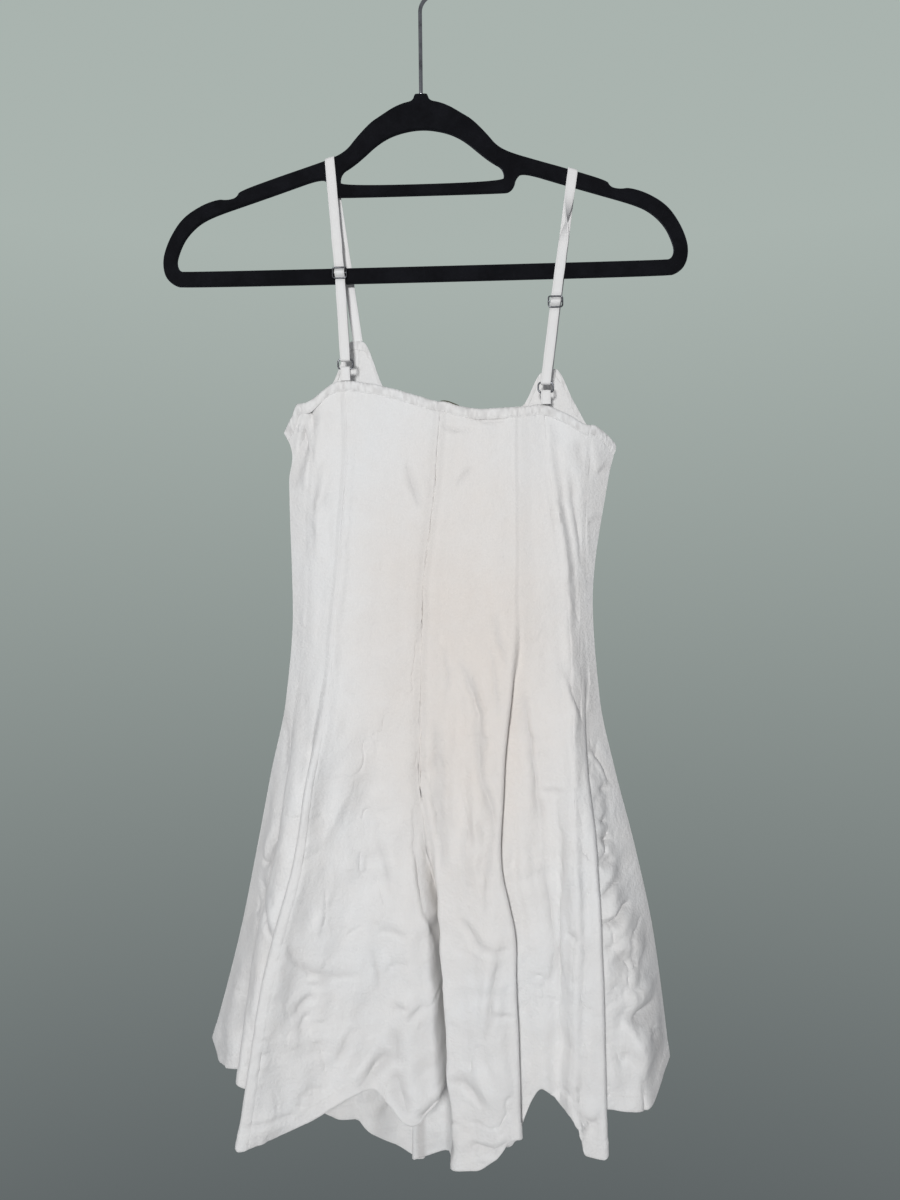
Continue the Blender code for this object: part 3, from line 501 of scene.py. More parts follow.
# heights of the x positions in the line tables
levels = (-385, -430, -450, -560, -640, -700, -765, -840, -1000)
backDepth = (11, 13, 14, 17, 21, 26, 31, 37, 42)
frontDepth = (11, 13, 15, 18, 21, 24, 27, 30, 33)
lineColumns = ("name", "kind", "size", "rise", "start", "top", "hem", "hemAfter")
sideLeftLine = (
    "sideLeft", "side", 0, 0, 0, -408, -931, -931,
    -133, -114, -117, -115, -122, -135, -148, -164, -209,
)
sideRightLine = (
    "sideRight", "side", 0, 0, 0, -424, -944, -944,
    170, 161, 156, 141, 146, 158, 174, 189, 207,
)
backLines = (
    sideLeftLine,
    ("wingLeft", "plain", 0, 0, 0, -396, -941, -941,
     -117, -103, -105, -106, -112, -122, -135, -151, -193),
    ("stripEdge", "pleat", 6, 1, -600, -386, -936, -945,
     -106, -97, -98, -100, -111, -117, -126, -144, -160),
    ("foldLeft", "pleat", 8, 1, -600, -368, -952, -990,
     -70, -69, -70, -80, -88, -97, -107, -127, -154),
    ("princessLeft", "seam", 8, 1.5, -385, -368, -989, -989,
     -66, -65, -66, -75, -83, -91, -100, -119, -145),
    ("legLeftOuter", "ridge", 24, 3, -640, -370, -979, -979,
     -48, -48, -49, -55, -60, -65, -72, -88, -107),
    ("legLeftHollow", "ridge", 22, -5, -780, -375, -953, -953,
     -28, -28, -29, -33, -37, -40, -42, -45, -46),
    ("legLeftDrop", "ridge", 16, 4, -760, -382, -979, -979,
     -4, -6, -8, -17, -19, -20, -17, -14, -13),
    ("centre", "seam", 9, -1.5, -400, -387, -958, -1016,
     15, 11, 10, -3, -6, -6, 2, 12, 22),
    ("lobeLow", "ridge", 14, 3, -760, -391, -1013, -1013,
     30, 27, 26, 12, 10, 10, 19, 28, 38),
    ("lobeMiddle", "ridge", 20, 4, -700, -394, -1001, -1001,
     50, 48, 47, 38, 34, 32, 34, 46, 54),
    ("lobeEdge", "pleat", 9, -1, -540, -393, -984, -996,
     80, 79, 79, 76, 69, 63, 60, 71, 74),
    ("stripRight", "ridge", 12, 3, -560, -392, -950, -950,
     91, 91, 91, 91, 87, 84, 83, 90, 92),
    ("valleyRight", "ridge", 12, -4, -640, -391, -962, -962,
     96, 98, 99, 106, 106, 105, 106, 109, 105),
    ("princessRight", "seam", 9, 3, -400, -392, -968, -968,
     101, 104, 106, 118, 121, 120, 119, 118, 115),
    ("lobeSmall", "plain", 0, 0, 0, -400, -996, -996,
     122, 120, 121, 127, 127, 126, 129, 130, 126),
    ("sideEdge", "pleat", 8, -1, -560, -409, -999, -966,
     144, 139, 137, 132, 131, 132, 138, 140, 142),
    ("wingRight", "ridge", 20, 4, -700, -416, -968, -968,
     157, 152, 148, 137, 140, 148, 160, 171, 178),
    sideRightLine,
)
frontLines = (
    sideLeftLine,
    ("pleatLeft", "pleat", 7, 1, -600, -389, -978, -990,
     -103, -92, -95, -98, -106, -116, -126, -140, -158),
    ("armholeLeft", "ridge", 20, 4, -640, -366, -1010, -1010,
     -82, -80, -81, -86, -90, -94, -100, -108, -118),
    ("apexLeftOut", "plain", 0, 0, 0, -328, -1016, -1016,
     -63, -67, -69, -76, -78, -80, -82, -85, -90),
    ("princessLeft", "seam", 10, 3, -360, -328, -1019, -1019,
     -58, -60, -62, -68, -70, -71, -70, -70, -70),
    ("apexLeftIn", "plain", 0, 0, 0, -329, -1030, -1030,
     -54, -50, -52, -57, -59, -60, -60, -59, -58),
    ("neckLeft", "ridge", 20, 4, -700, -370, -1046, -1046,
     -36, -34, -35, -40, -42, -43, -42, -40, -38),
    ("foldCentre", "pleat", 7, -1, -680, -402, -1058, -1054,
     -10, -10, -11, -18, -20, -20, -18, -14, -12),
    ("centre", "seam", 9, -1.5, -440, -428, -1038, -1010,
     18, 14, 12, -3, -6, -6, 2, 12, 22),
    ("neckLowRight", "ridge", 20, 3, -620, -414, -1002, -1002,
     52, 48, 46, 36, 34, 32, 36, 44, 52),
    ("foldRight", "pleat", 7, 1, -620, -388, -990, -982,
     80, 76, 74, 62, 60, 60, 64, 72, 84),
    ("apexRightIn", "plain", 0, 0, 0, -359, -974, -974,
     101, 98, 96, 86, 86, 88, 92, 100, 108),
    ("princessRight", "seam", 10, 3, -380, -356, -972, -972,
     107, 104, 103, 96, 97, 100, 106, 114, 122),
    ("apexRightOut", "plain", 0, 0, 0, -356, -970, -970,
     113, 111, 110, 105, 107, 111, 118, 126, 134),
    ("armholeRight", "ridge", 20, 4, -660, -387, -966, -966,
     130, 127, 125, 118, 121, 127, 136, 146, 156),
    ("pleatRight", "pleat", 7, -1, -620, -409, -968, -960,
     150, 144, 141, 129, 133, 142, 154, 166, 178),
    sideRightLine,
)

# Creases of the back: name, depth in mm (a ridge is positive), softness on its left
# and right, and its line as (x, z) points
backCreases = (
    ("seam above the left fold", -0.8, 1.5, 3.0,
     ((-68, -384), (-68, -422), (-71, -485), (-75, -522), (-81, -576))),
    ("left wing fold", -3.4, 1.8, 6.0,
     ((-88, -381), (-95, -386), (-99, -403), (-107, -427), (-112, -441), (-115, -458))),
    ("left wing ridge", 1.6, 4.0, 5.0, ((-83, -436), (-88, -477), (-92, -519))),
    ("right shoulder ridge", 1.4, 2.5, 3.0,
     ((101, -397), (104, -412), (106, -445), (110, -474), (116, -526), (122, -578))),
    ("right shoulder line", -1.1, 2.0, 3.0, ((121, -439), (131, -520), (134, -525), (139, -552))),
    ("right shoulder valley", -1.3, 5.0, 5.0, ((128, -419), (138, -453))),
    ("upper pinch at the right side", -1.3, 2.0, 3.0, ((159, -439), (146, -449))),
    ("lower pinch at the right side", -1.1, 2.0, 3.0, ((150, -481), (137, -492))),
    ("upper middle", -1.1, 2.5, 4.0, ((-15, -437), (-10, -455), (-3, -476))),
    ("under the band", -1.2, 1.5, 3.0, ((30, -399), (41, -402), (54, -404), (71, -404))),
    ("under the band, lower", -0.8, 1.5, 3.0, ((10, -408), (26, -412), (41, -413))),
    ("upper middle, right", -0.8, 2.0, 3.0, ((26, -461), (33, -451), (41, -442))),
    ("waist, right", -1.2, 2.0, 4.0, ((55, -566), (60, -588), (68, -608))),
    ("hip, right", -1.3, 2.0, 5.0, ((27, -606), (33, -622), (40, -641), (50, -678))),
    ("hip, far right", -1.2, 2.0, 4.0, ((114, -605), (122, -636), (130, -658))),
    ("short level crease", -1.0, 1.8, 2.5, ((91, -712), (102, -712), (114, -710))),
    ("beside the grey valley", -1.0, 1.6, 1.8,
     ((105, -702), (110, -745), (109, -771), (108, -809), (107, -880), (108, -926))),
    ("left leg streak", 1.5, 7.0, 6.0, ((-51, -680), (-64, -708), (-88, -757))),
    ("left leg streak, lower", 1.0, 5.0, 5.0, ((-82, -804), (-92, -825))),
    ("left leg bend", -1.4, 2.0, 4.0, ((-113, -831), (-104, -850), (-96, -858), (-81, -861), (-54, -862))),
    ("left leg bend, lower", -0.9, 2.0, 3.0, ((-96, -867), (-87, -865), (-77, -865))),
    ("left leg pit", -1.2, 2.5, 3.0, ((-111, -893), (-103, -884), (-91, -873))),
    ("left leg level crease", -1.2, 2.0, 4.0, ((-43, -825), (-30, -825), (-16, -830))),
    ("left leg small crumple", -1.0, 2.0, 3.0, ((-31, -891), (-26, -887), (-12, -887))),
    ("left leg small slant", -1.1, 2.0, 3.0, ((-17, -898), (-10, -891), (-3, -886))),
    ("left leg low slant", -1.0, 2.0, 4.0, ((-62, -903), (-69, -918), (-77, -933))),
    ("hem fold, strong", -2.6, 3.0, 6.0, ((-34, -920), (-41, -933), (-49, -943), (-60, -953))),
    ("hem lobe, left valley", -2.0, 5.0, 6.0, ((-29, -939), (-23, -956), (-15, -973))),
    ("hem lobe, right valley", -1.8, 3.0, 4.0, ((12, -958), (2, -966), (-7, -974))),
    ("above the hem lobe", -1.1, 5.0, 5.0, ((-26, -903), (-26, -924), (-28, -947))),
    ("hem crease, left leg", -0.7, 1.5, 3.0, ((-150, -972), (-125, -969), (-102, -972))),
    ("right lobe, upper slant", -1.5, 3.0, 2.5, ((27, -812), (40, -832), (56, -837), (64, -834))),
    ("right lobe, long line", -1.5, 2.5, 3.0, ((57, -837), (55, -862), (50, -892), (44, -910))),
    ("right lobe, level", -0.8, 1.8, 2.5, ((53, -889), (63, -888), (73, -888))),
    ("right lobe, low ridge", 1.5, 5.0, 5.0, ((31, -917), (39, -936), (53, -960))),
    ("right lobe, low slant", -1.8, 2.5, 5.0, ((17, -943), (32, -950), (46, -960))),
    ("right lobe, turned hem", -1.5, 2.0, 4.0, ((23, -1003), (39, -993), (54, -994), (68, -984))),
    ("right lobe, soft ridge", 1.0, 5.0, 5.0, ((36, -704), (44, -753), (41, -789))),
    ("right lobe, beside the edge", -1.0, 2.0, 3.0, ((53, -727), (60, -748), (60, -777))),
    ("strip, short crease", -0.8, 2.0, 2.5, ((113, -825), (124, -828))),
    ("right wing, first pit", -1.2, 2.5, 2.5, ((142, -716), (153, -713))),
    ("right wing, second pit", -1.2, 2.5, 2.5, ((142, -740), (150, -737))),
    ("right wing, third pit", -1.6, 4.0, 4.0, ((143, -757), (154, -751))),
    ("right wing, fourth pit", -1.8, 5.0, 5.0, ((142, -775), (153, -768))),
    ("right wing, fifth", -1.4, 2.5, 3.5, ((142, -799), (149, -793), (157, -786))),
    ("right wing, strong crease", -2.6, 2.2, 4.5,
     ((140, -818), (146, -819), (155, -817), (162, -810), (171, -806))),
    ("right wing, dimple", -2.2, 7.0, 7.0, ((155, -844), (165, -858))),
    ("right wing, hollow", -2.4, 7.0, 7.0, ((162, -903), (175, -895), (189, -891))),
    ("right wing, dome", 2.0, 4.0, 6.0, ((160, -907), (165, -905), (169, -917), (175, -945))),
    ("right wing, small pit", -1.0, 2.5, 2.5, ((145, -836), (149, -841))),
    ("left strip, crumple", -1.5, 2.5, 2.5, ((-120, -736), (-127, -756), (-132, -766), (-135, -784))),
    ("left strip, crumple across", -1.3, 2.0, 2.5, ((-142, -770), (-136, -776), (-130, -774))),
    ("left strip, slant", -1.6, 2.0, 3.0, ((-140, -788), (-137, -805), (-131, -822), (-125, -834))),
    ("left strip, upper", -1.0, 2.0, 3.0, ((-125, -637), (-120, -666), (-122, -695))),
    ("left wing, lower fold", -1.5, 4.0, 5.0, ((-145, -850), (-153, -882), (-157, -910))),
    ("left wing, low ridge", 1.2, 6.0, 6.0, ((-162, -870), (-170, -894), (-175, -914))),
    ("left leg, inner edge", -1.5, 1.3, 2.5,
     ((-10, -724), (-10, -756), (-8, -787), (-4, -811), (4, -832), (8, -853))),
    ("bright pleat, right edge", -1.3, 2.0, 3.5, ((-4, -693), (3, -711), (9, -732), (12, -756), (13, -782))),
    ("right leg, grey hollow", -1.3, 4.0, 5.0, ((6, -653), (9, -687), (12, -719), (15, -745))),
    ("right leg, soft ridge", 1.2, 5.0, 5.0, ((24, -630), (26, -674), (23, -724), (22, -772))),
    ("right leg, brown hollow", -1.5, 3.0, 4.0,
     ((35, -617), (41, -651), (45, -688), (49, -716), (58, -738), (61, -761))),
    ("right leg, second ridge", 1.3, 4.0, 4.0, ((37, -698), (42, -730), (40, -766), (44, -798))),
    ("right leg, thin line", -1.0, 1.5, 2.5, ((55, -735), (51, -761), (49, -787), (45, -811))),
    ("waist, fine folds", -0.8, 2.0, 2.5, ((53, -593), (57, -622), (58, -654))),
    ("waist, fine folds, left", -0.7, 2.0, 2.5, ((15, -590), (17, -619), (15, -648))),
    ("strip, bright edge", -1.5, 3.5, 2.0, ((82, -630), (86, -667), (89, -698), (92, -724), (95, -756))),
    ("strip, grey streak", -1.4, 3.0, 3.5, ((96, -751), (97, -787), (101, -814), (104, -840), (102, -871))),
    ("strip, left ridge", 1.2, 4.0, 4.0, ((74, -698), (76, -745), (78, -793), (85, -840))),
    ("strip, right ridge", 1.1, 4.0, 4.0, ((118, -725), (121, -766), (123, -814), (124, -861))),
    ("strip, short slants", -1.0, 2.0, 3.0, ((114, -825), (122, -831), (131, -840))),
    ("right wing, top fold", -2.0, 1.6, 3.5, ((136, -679), (143, -688), (151, -701), (156, -717))),
    ("left leg, faint fold", -0.9, 2.5, 4.0, ((-41, -751), (-33, -777), (-30, -798))),
    ("left leg, faint fold, left", -0.9, 2.5, 4.0, ((-75, -793), (-83, -811), (-90, -830))),
    ("left leg, faint slant", -1.0, 2.0, 3.0, ((-47, -840), (-41, -859), (-42, -877))),
    ("small lobe, twist", -1.8, 2.5, 4.0, ((119, -964), (130, -971), (124, -983))),
    ("small lobe, twist, right", -1.4, 2.5, 3.0, ((141, -958), (135, -972), (140, -988))),
)
# The front is hidden in the photo, so its creases are of the same kinds as those of the back
frontCreases = (
    ("left cup, under the point", -1.2, 3.0, 4.0, ((-66, -352), (-74, -386), (-84, -420))),
    ("right cup, under the point", -1.2, 3.0, 4.0, ((104, -380), (98, -412), (90, -446))),
    ("bust, left slant", -1.1, 2.5, 4.0, ((-92, -436), (-70, -452), (-48, -456))),
    ("bust, right slant", -1.1, 2.5, 4.0, ((126, -448), (104, -462), (86, -464))),
    ("waist, left", -1.2, 2.0, 4.0, ((-60, -560), (-52, -592), (-46, -622))),
    ("waist, right", -1.2, 2.0, 4.0, ((70, -552), (62, -586), (58, -620))),
    ("hip, middle", 1.3, 6.0, 6.0, ((10, -640), (18, -690), (24, -744))),
    ("hip, left", 1.4, 6.0, 6.0, ((-66, -650), (-80, -720), (-92, -770))),
    ("left leg bend", -1.4, 2.0, 4.0, ((-112, -842), (-96, -856), (-70, -862), (-48, -858))),
    ("left leg slant", -1.1, 2.0, 4.0, ((-60, -900), (-74, -926), (-86, -950))),
    ("left leg level", -1.0, 2.0, 3.0, ((-46, -806), (-28, -810), (-10, -806))),
    ("left leg hem fold", -2.2, 3.0, 6.0, ((-36, -985), (-46, -1002), (-60, -1018))),
    ("right leg bend", -1.4, 2.0, 4.0, ((44, -826), (58, -840), (80, -846), (98, -842))),
    ("right leg slant", -1.1, 2.5, 4.0, ((96, -880), (108, -906), (116, -934))),
    ("right leg pit", -1.8, 5.0, 5.0, ((150, -846), (166, -858))),
    ("right leg level", -1.2, 2.0, 4.0, ((132, -806), (152, -800), (170, -804))),
    ("right leg hem fold", -2.0, 3.0, 5.0, ((60, -950), (52, -968), (48, -984))),
)

pleatShape = {
    "bend": 2.5,                    # radius of each of its two turns, mm
    "turn": math.radians(158),
    "growth": 150.0,                # height over which it opens
    "fade": 55.0,                   # how far the cloth on top takes to come down again
    "startArc": 1.0,
    "steps": 24,
}
drape = {
    "crotch": -838.0, "partingStart": -742.0, "partingLeft": 13.0, "partingRight": 7.0,
    "overhang": 9.0,                # how far the right leg's edge leans over the left leg
    "legGap": 0.8, "legGapGrowth": 40.0, "sideRound": 42.0, "halfGap": 0.15,
    "bandHeight": 8.5, "bindingHeight": 7.0,
    "cloth": 0.75, "standOff": 0.3, "hemExtra": 0.75, "hemTurn": 12.0,
    "cellBack": 1.35, "cellFront": 2.4, "cellEdge": 0.7,
    "rowsBack": 330, "rowsFront": 210,
}


crumple = {
    "creases": 1.8, "creasesOnWings": 0.5,    # times the depths in the crease tables
    "facets": 2.0, "facetsAbove": 0.45,       # at the hem, and what remains at the top
    "soft": 1.6, "softAbove": 0.35, "small": 0.6, "lumps": 1.1,
    "wrinkle": 1.15, "wrinkleWidth": 0.085, "finer": 0.4, "finerWidth": 0.13,
    "gather": 0.3, "gatherReach": 13.0,       # under the band
    "flare": 2.2, "flareReach": 46.0, "pucker": 0.3, "hemStitch": 10.8,
    "seamDent": 0.5, "seamWidth": 1.1, "seamPucker": 0.3,
    "swing": 1.2, "stiff": 0.55,              # no dent goes deeper than this share of the half depth
    "begins": -430.0, "growth": 480.0,        # height where it begins, and where it is full
    "sideCalm": 16.0, "pleatCalm": 4.0, "pleatCalmWide": 11.0, "wingEdge": 12.0,
    # painted shade: its strength in creases and facet hollows, and its width and reach under pleat edges
    "creaseShade": 0.48, "facetShade": 0.12, "pleatShade": 1.7, "pleatShadeReach": 26.0,
}


def lineX(line, height):
    return smoothCurve(levels, line["x"], height)


def pleatWalk(line, height):
    # the wall turns over one bend, runs back and turns straight again; x and depth add up the cos and sin
    # of its angle
    grow = smoothStep((line["start"] - height) / pleatShape["growth"])[..., None]
    steps, startArc = pleatShape["steps"], pleatShape["startArc"]
    arc = startArc + grow * (pleatShape["bend"] * pleatShape["turn"] - startArc)
    back = startArc + grow * (line["size"] - startArc)
    middle = (np.arange(steps) + 0.5) / steps
    step = np.where((middle > 1 / 3) & (middle < 2 / 3), back, arc) * 3 / steps
    turn = pleatShape["turn"] * grow * np.minimum(np.clip(middle * 3, 0, 1), np.clip((1 - middle) * 3, 0, 1))
    start = np.zeros(np.shape(height) + (1,))
    across = np.concatenate([start, np.cumsum(np.cos(turn) * step, axis=-1)], axis=-1)
    down = np.concatenate([start, np.cumsum(np.sin(turn) * step, axis=-1)], axis=-1)
    return across, down


def pleatPoints(line, height):
    # x and rise of the pleat's own columns, one height column for each of them
    across, down = pleatWalk(line, height)
    edge = lineX(line, height)
    steps = pleatShape["steps"]
    reach = np.minimum(across.max(axis=-1), pleatShape["bend"])
    number = np.arange(steps + 1)
    taken = number if line["rise"] < 0 else steps - number
    walked, fallen = across[:, number, taken], down[:, number, taken]
    x = edge - reach + walked if line["rise"] < 0 else edge + reach - walked
    return x, down[..., -1] - fallen


def pleatEdges(line, height):
    # x where the pleat starts and ends, and how far it steps up
    across, down = pleatWalk(line, height)
    edge = lineX(line, height)
    reach = np.minimum(across.max(axis=-1), pleatShape["bend"])
    if line["rise"] < 0:
        return edge - reach, edge - reach + across[..., -1], down[..., -1]
    return edge + reach - across[..., -1], edge + reach, down[..., -1]


def creaseField(x, z, rows):
    # each crease: its depth times a bell of the distance on either side, fading at both ends, with a lip
    # beside it
    field = np.zeros_like(x)
    warpX = x + 1.3 * softNoise(x / 11, z / 11, 301)
    warpZ = z + 1.3 * softNoise(x / 11, z / 11, 302)
    for number, (_, depth, left, right, points) in enumerate(rows):
        points = np.array(points, float)
        reach = 4 * max(left, right)
        low, high = points.min(0) - reach, points.max(0) + reach
        near = (x > low[0]) & (x < high[0]) & (z > low[1]) & (z < high[1])
        px, pz = warpX[near], warpZ[near]
        lengths = np.linalg.norm(np.diff(points, axis=0), axis=1)
        travelled = np.concatenate([[0], np.cumsum(lengths)]) / lengths.sum()
        best = np.full(px.shape, 1e9)
        side, share = np.zeros_like(px), np.zeros_like(px)
        for part in range(len(points) - 1):
            (ax, az), (bx, bz) = points[part], points[part + 1]
            t = np.clip(((px - ax) * (bx - ax) + (pz - az) * (bz - az)) / lengths[part] ** 2, 0, 1)
            away = np.hypot(px - ax - t * (bx - ax), pz - az - t * (bz - az))
            closer = away < best
            best = np.where(closer, away, best)
            cross = (bx - ax) * (pz - az) - (bz - az) * (px - ax)
            side = np.where(closer, np.sign(cross), side)
            share = np.where(closer, travelled[part] + t * (travelled[part + 1] - travelled[part]), share)
        downward = points[-1, 1] < points[0, 1]
        onRight = side * (1 if downward else -1) > 0
        width = np.where(onRight, right, left)
        bell = np.exp(-np.abs(best / width) ** 1.35) - 0.28 * np.exp(-((best / width - 2.3) / 0.9) ** 2)
        ends = np.sin(np.pi * np.clip(share, 0.0, 1.0)) ** 0.7
        uneven = 1 + 0.35 * softNoise(px / 13, pz / 13, 400 + number)
        field[near] += depth * bell * ends * uneven
    return field


def facetField(x, z, seed, count=6):
    # soft-cornered triangle waves in random directions, which come and go, so that flat facets meet along
    # straight creases
    chance = np.random.default_rng(seed)
    field = np.zeros_like(x)
    for number in range(count):
        angle, long = chance.uniform(0, math.pi), chance.uniform(24, 58)
        phase = (x * math.cos(angle) + z * math.sin(angle)) / long
        phase = phase + 0.75 * softNoise(x / 47, z / 47, seed + number)
        wave = 2 * np.abs(phase - np.floor(phase + 0.5))
        gate = smoothStep(0.5 + 1.4 * softNoise(x / 41, z / 53, seed + 50 + number))
        field += (np.sqrt(wave ** 2 + 0.004) - 0.5) * gate * long / 40
    return field / math.sqrt(count)


class ClothSide:
    # one side of the garment: rows run from its top edge to its hem, and columns follow the lines

    def __init__(self, table, depth, facing, edgeHeight, cell, creases, seed):
        count = len(lineColumns)
        self.lines = [dict(zip(lineColumns, row[:count]), x=row[count:]) for row in table]
        self.depth, self.facing, self.edgeHeight = depth, facing, edgeHeight
        self.creases, self.seed = creases, seed
        self.buildColumns(cell)

    def buildColumns(self, cell):
        # a pleat has a column for each step of its walk, and a span has even ones
        self.own, self.spans, position = [], [], 0
        for number, line in enumerate(self.lines):
            wide = pleatShape["steps"] + 1 if line["kind"] == "pleat" else 1
            self.own.append((position, position + wide))
            position += wide
            if number + 1 < len(self.lines):
                gap = abs(self.lines[number + 1]["x"][-2] - line["x"][-2])
                cells = max(2, round(gap / cell))
                self.spans.append((position, position + cells - 1))
                position += cells - 1
        self.count = position
        self.at = {line["name"]: own[0] for line, own in zip(self.lines, self.own)}

    def edges(self):
        # heights of the top edge and of the hem as smooth curves over the travelled cloth
        keys, tops, hems, place, travelled = [], [], [], [], 0.0
        for number, line in enumerate(self.lines):
            begin = travelled
            keys.append(travelled)
            tops.append(line["top"])
            hems.append(line["hem"])
            if line["kind"] == "pleat" or line["hem"] != line["hemAfter"]:
                travelled += 12.0 if line["kind"] == "pleat" else 0.01
                keys.append(travelled)
                tops.append(line["top"])
                hems.append(line["hemAfter"])
            place.append((begin, travelled))
            if number + 1 < len(self.lines):
                travelled += abs(self.lines[number + 1]["x"][-2] - line["x"][-2]) + 1.0
        at = np.zeros(self.count)
        for number, (first, last) in enumerate(self.own):
            begin, end = place[number]
            at[first:last] = np.linspace(begin, end, last - first) if last - first > 1 else begin
            if number + 1 < len(self.lines):
                first, last = self.spans[number]
                share = np.arange(1, last - first + 1) / (last - first + 1)
                at[first:last] = end + (place[number + 1][0] - end) * share
        return smoothCurve(keys, tops, at), smoothCurve(keys, hems, at)

    def pointsAt(self, height):
        # x from the lines, depth from the depth table plus what ridges, seams and pleats add
        x, rise = np.zeros_like(height), np.zeros_like(height)
        for number, line in enumerate(self.lines):
            first, last = self.own[number]
            if line["kind"] == "pleat":
                x[:, first:last], rise[:, first:last] = pleatPoints(line, height[:, first:last])
            else:
                x[:, first] = lineX(line, height[:, first])
            if number + 1 < len(self.lines):
                after = self.lines[number + 1]
                first, last = self.spans[number]
                z = height[:, first:last]
                share = np.arange(1, last - first + 1) / (last - first + 1)
                left = pleatEdges(line, z)[1] if line["kind"] == "pleat" else lineX(line, z)
                right = pleatEdges(after, z)[0] if after["kind"] == "pleat" else lineX(after, z)
                x[:, first:last] = left + (right - left) * share
        for number, line in enumerate(self.lines):
            rise += self.lift(number, line, x, height)
        return self.laid(x, rise, height)

    def lift(self, number, line, x, height):
        centre = lineX(line, height)
        if line["kind"] in ("ridge", "seam") and line["size"]:
            grown = smoothStep((line["start"] - height) / pleatShape["growth"])
            near = np.clip(np.abs(x - centre) / line["size"], 0, 1)
            return line["rise"] * grown * (1 + np.cos(np.pi * near)) / 2
        if line["kind"] != "pleat":
            return 0.0
        first, last = self.own[number]
        column = np.arange(x.shape[1])
        onTop = column >= last if line["rise"] > 0 else column < first
        away = np.clip((x - centre) * line["rise"] / pleatShape["fade"], 0, 1)
        step = pleatEdges(line, height)[2]
        return np.where(onTop, step * (1 + np.cos(np.pi * away)) / 2, 0.0)

    def laid(self, x, rise, height):
        # both sides close towards the side seams, and towards the middle where the legs part
        left, right = lineX(self.lines[0], height), lineX(self.lines[-1], height)
        centre = lineX(self.centreLine(), height)
        depth = smoothCurve(levels, self.depth, height) + rise
        closing = np.sin(np.pi / 2 * np.clip((x - left) / drape["sideRound"], 0, 1))
        closing = closing * np.sin(np.pi / 2 * np.clip((right - x) / drape["sideRound"], 0, 1))
        parting = smoothStep((drape["partingStart"] - height) / (drape["partingStart"] - drape["crotch"]))
        away = np.where(x < centre, (centre - x) / drape["partingLeft"], (x - centre) / drape["partingRight"])
        valley = parting * (1 + np.cos(np.pi * np.clip(away, 0, 1))) / 2
        y = self.facing * (drape["halfGap"] + depth * closing * (1 - valley))
        leaning = drape["overhang"] * parting * np.sin(np.pi * np.clip((x - centre) / 16, 0, 1))
        return np.stack([x - leaning, y, height], axis=-1)

    def centreLine(self):
        return next(line for line in self.lines if line["name"] == "centre")

    def normals(self, points):
        normal = np.cross(np.gradient(points, axis=1), np.gradient(points, axis=0))
        normal /= np.linalg.norm(normal, axis=-1, keepdims=True) + 1e-12
        return normal * np.sign(normal[:, self.at["centre"], 1].mean() * self.facing)

    def face(self, x, height):
        # y of the inner face near the top, where no pleat has begun
        x, height = np.asarray(x, float), np.asarray(height, float)
        rise = sum(self.lift(number, line, x, height) for number, line in enumerate(self.lines)
                   if line["kind"] in ("ridge", "seam"))
        return self.laid(x, rise, height)[..., 1]

    def topHeight(self, x):
        top = self.edges()[0]
        return float(np.interp(x, self.pointsAt(top[None])[0, :, 0], top))

    def highestEdge(self, x, width):
        return max(self.topHeight(x + width * share) for share in (-0.5, -0.25, 0.0, 0.25, 0.5))

    def travel(self, points):
        # length of cloth from the left side to each column, averaged over the rows
        steps = np.linalg.norm(np.diff(points, axis=1), axis=-1).mean(axis=0)
        return np.concatenate([[0], np.cumsum(steps)])

    def grid(self, rows, rightHalf, travel=None):
        # even rows to the hem's turning, then close ones to its edge. At the middle seam both halves have
        # the same rows down to the crotch, so near it the left half's rows are drawn towards those
        line, centre = self.centreLine(), self.at["centre"]
        top, hem = self.edges()
        top = top - self.edgeHeight - 0.05
        margin = drape["hemTurn"] + 2.0
        share = np.linspace(0, 1, rows)[:, None] + np.zeros(self.count)
        hem[centre] = line["hemAfter"]
        if not rightHalf:
            shared = top[centre] + (hem[centre] + margin - top[centre]) * share[:, centre]
            stretch = (line["hem"] + margin - drape["crotch"]) / (hem[centre] + margin - drape["crotch"])
            shared = shared + np.minimum(shared - drape["crotch"], 0) * (stretch - 1)
            hem[centre] = line["hem"]
            like = (shared - top[centre]) / (hem[centre] + margin - top[centre])
            near = np.ones(self.count)
            if travel is not None:
                near = smoothStep(1 - np.abs(travel - travel[centre]) / 60)
            share = share + (like[:, None] - share) * near
        turning = hem + margin
        last = np.linspace(0, 1, 13)[1:, None]
        heights = np.concatenate([top + (turning - top) * share, turning + (hem - turning) * last])
        return heights, top, hem

    def crumpled(self, points, travel, top, hem):
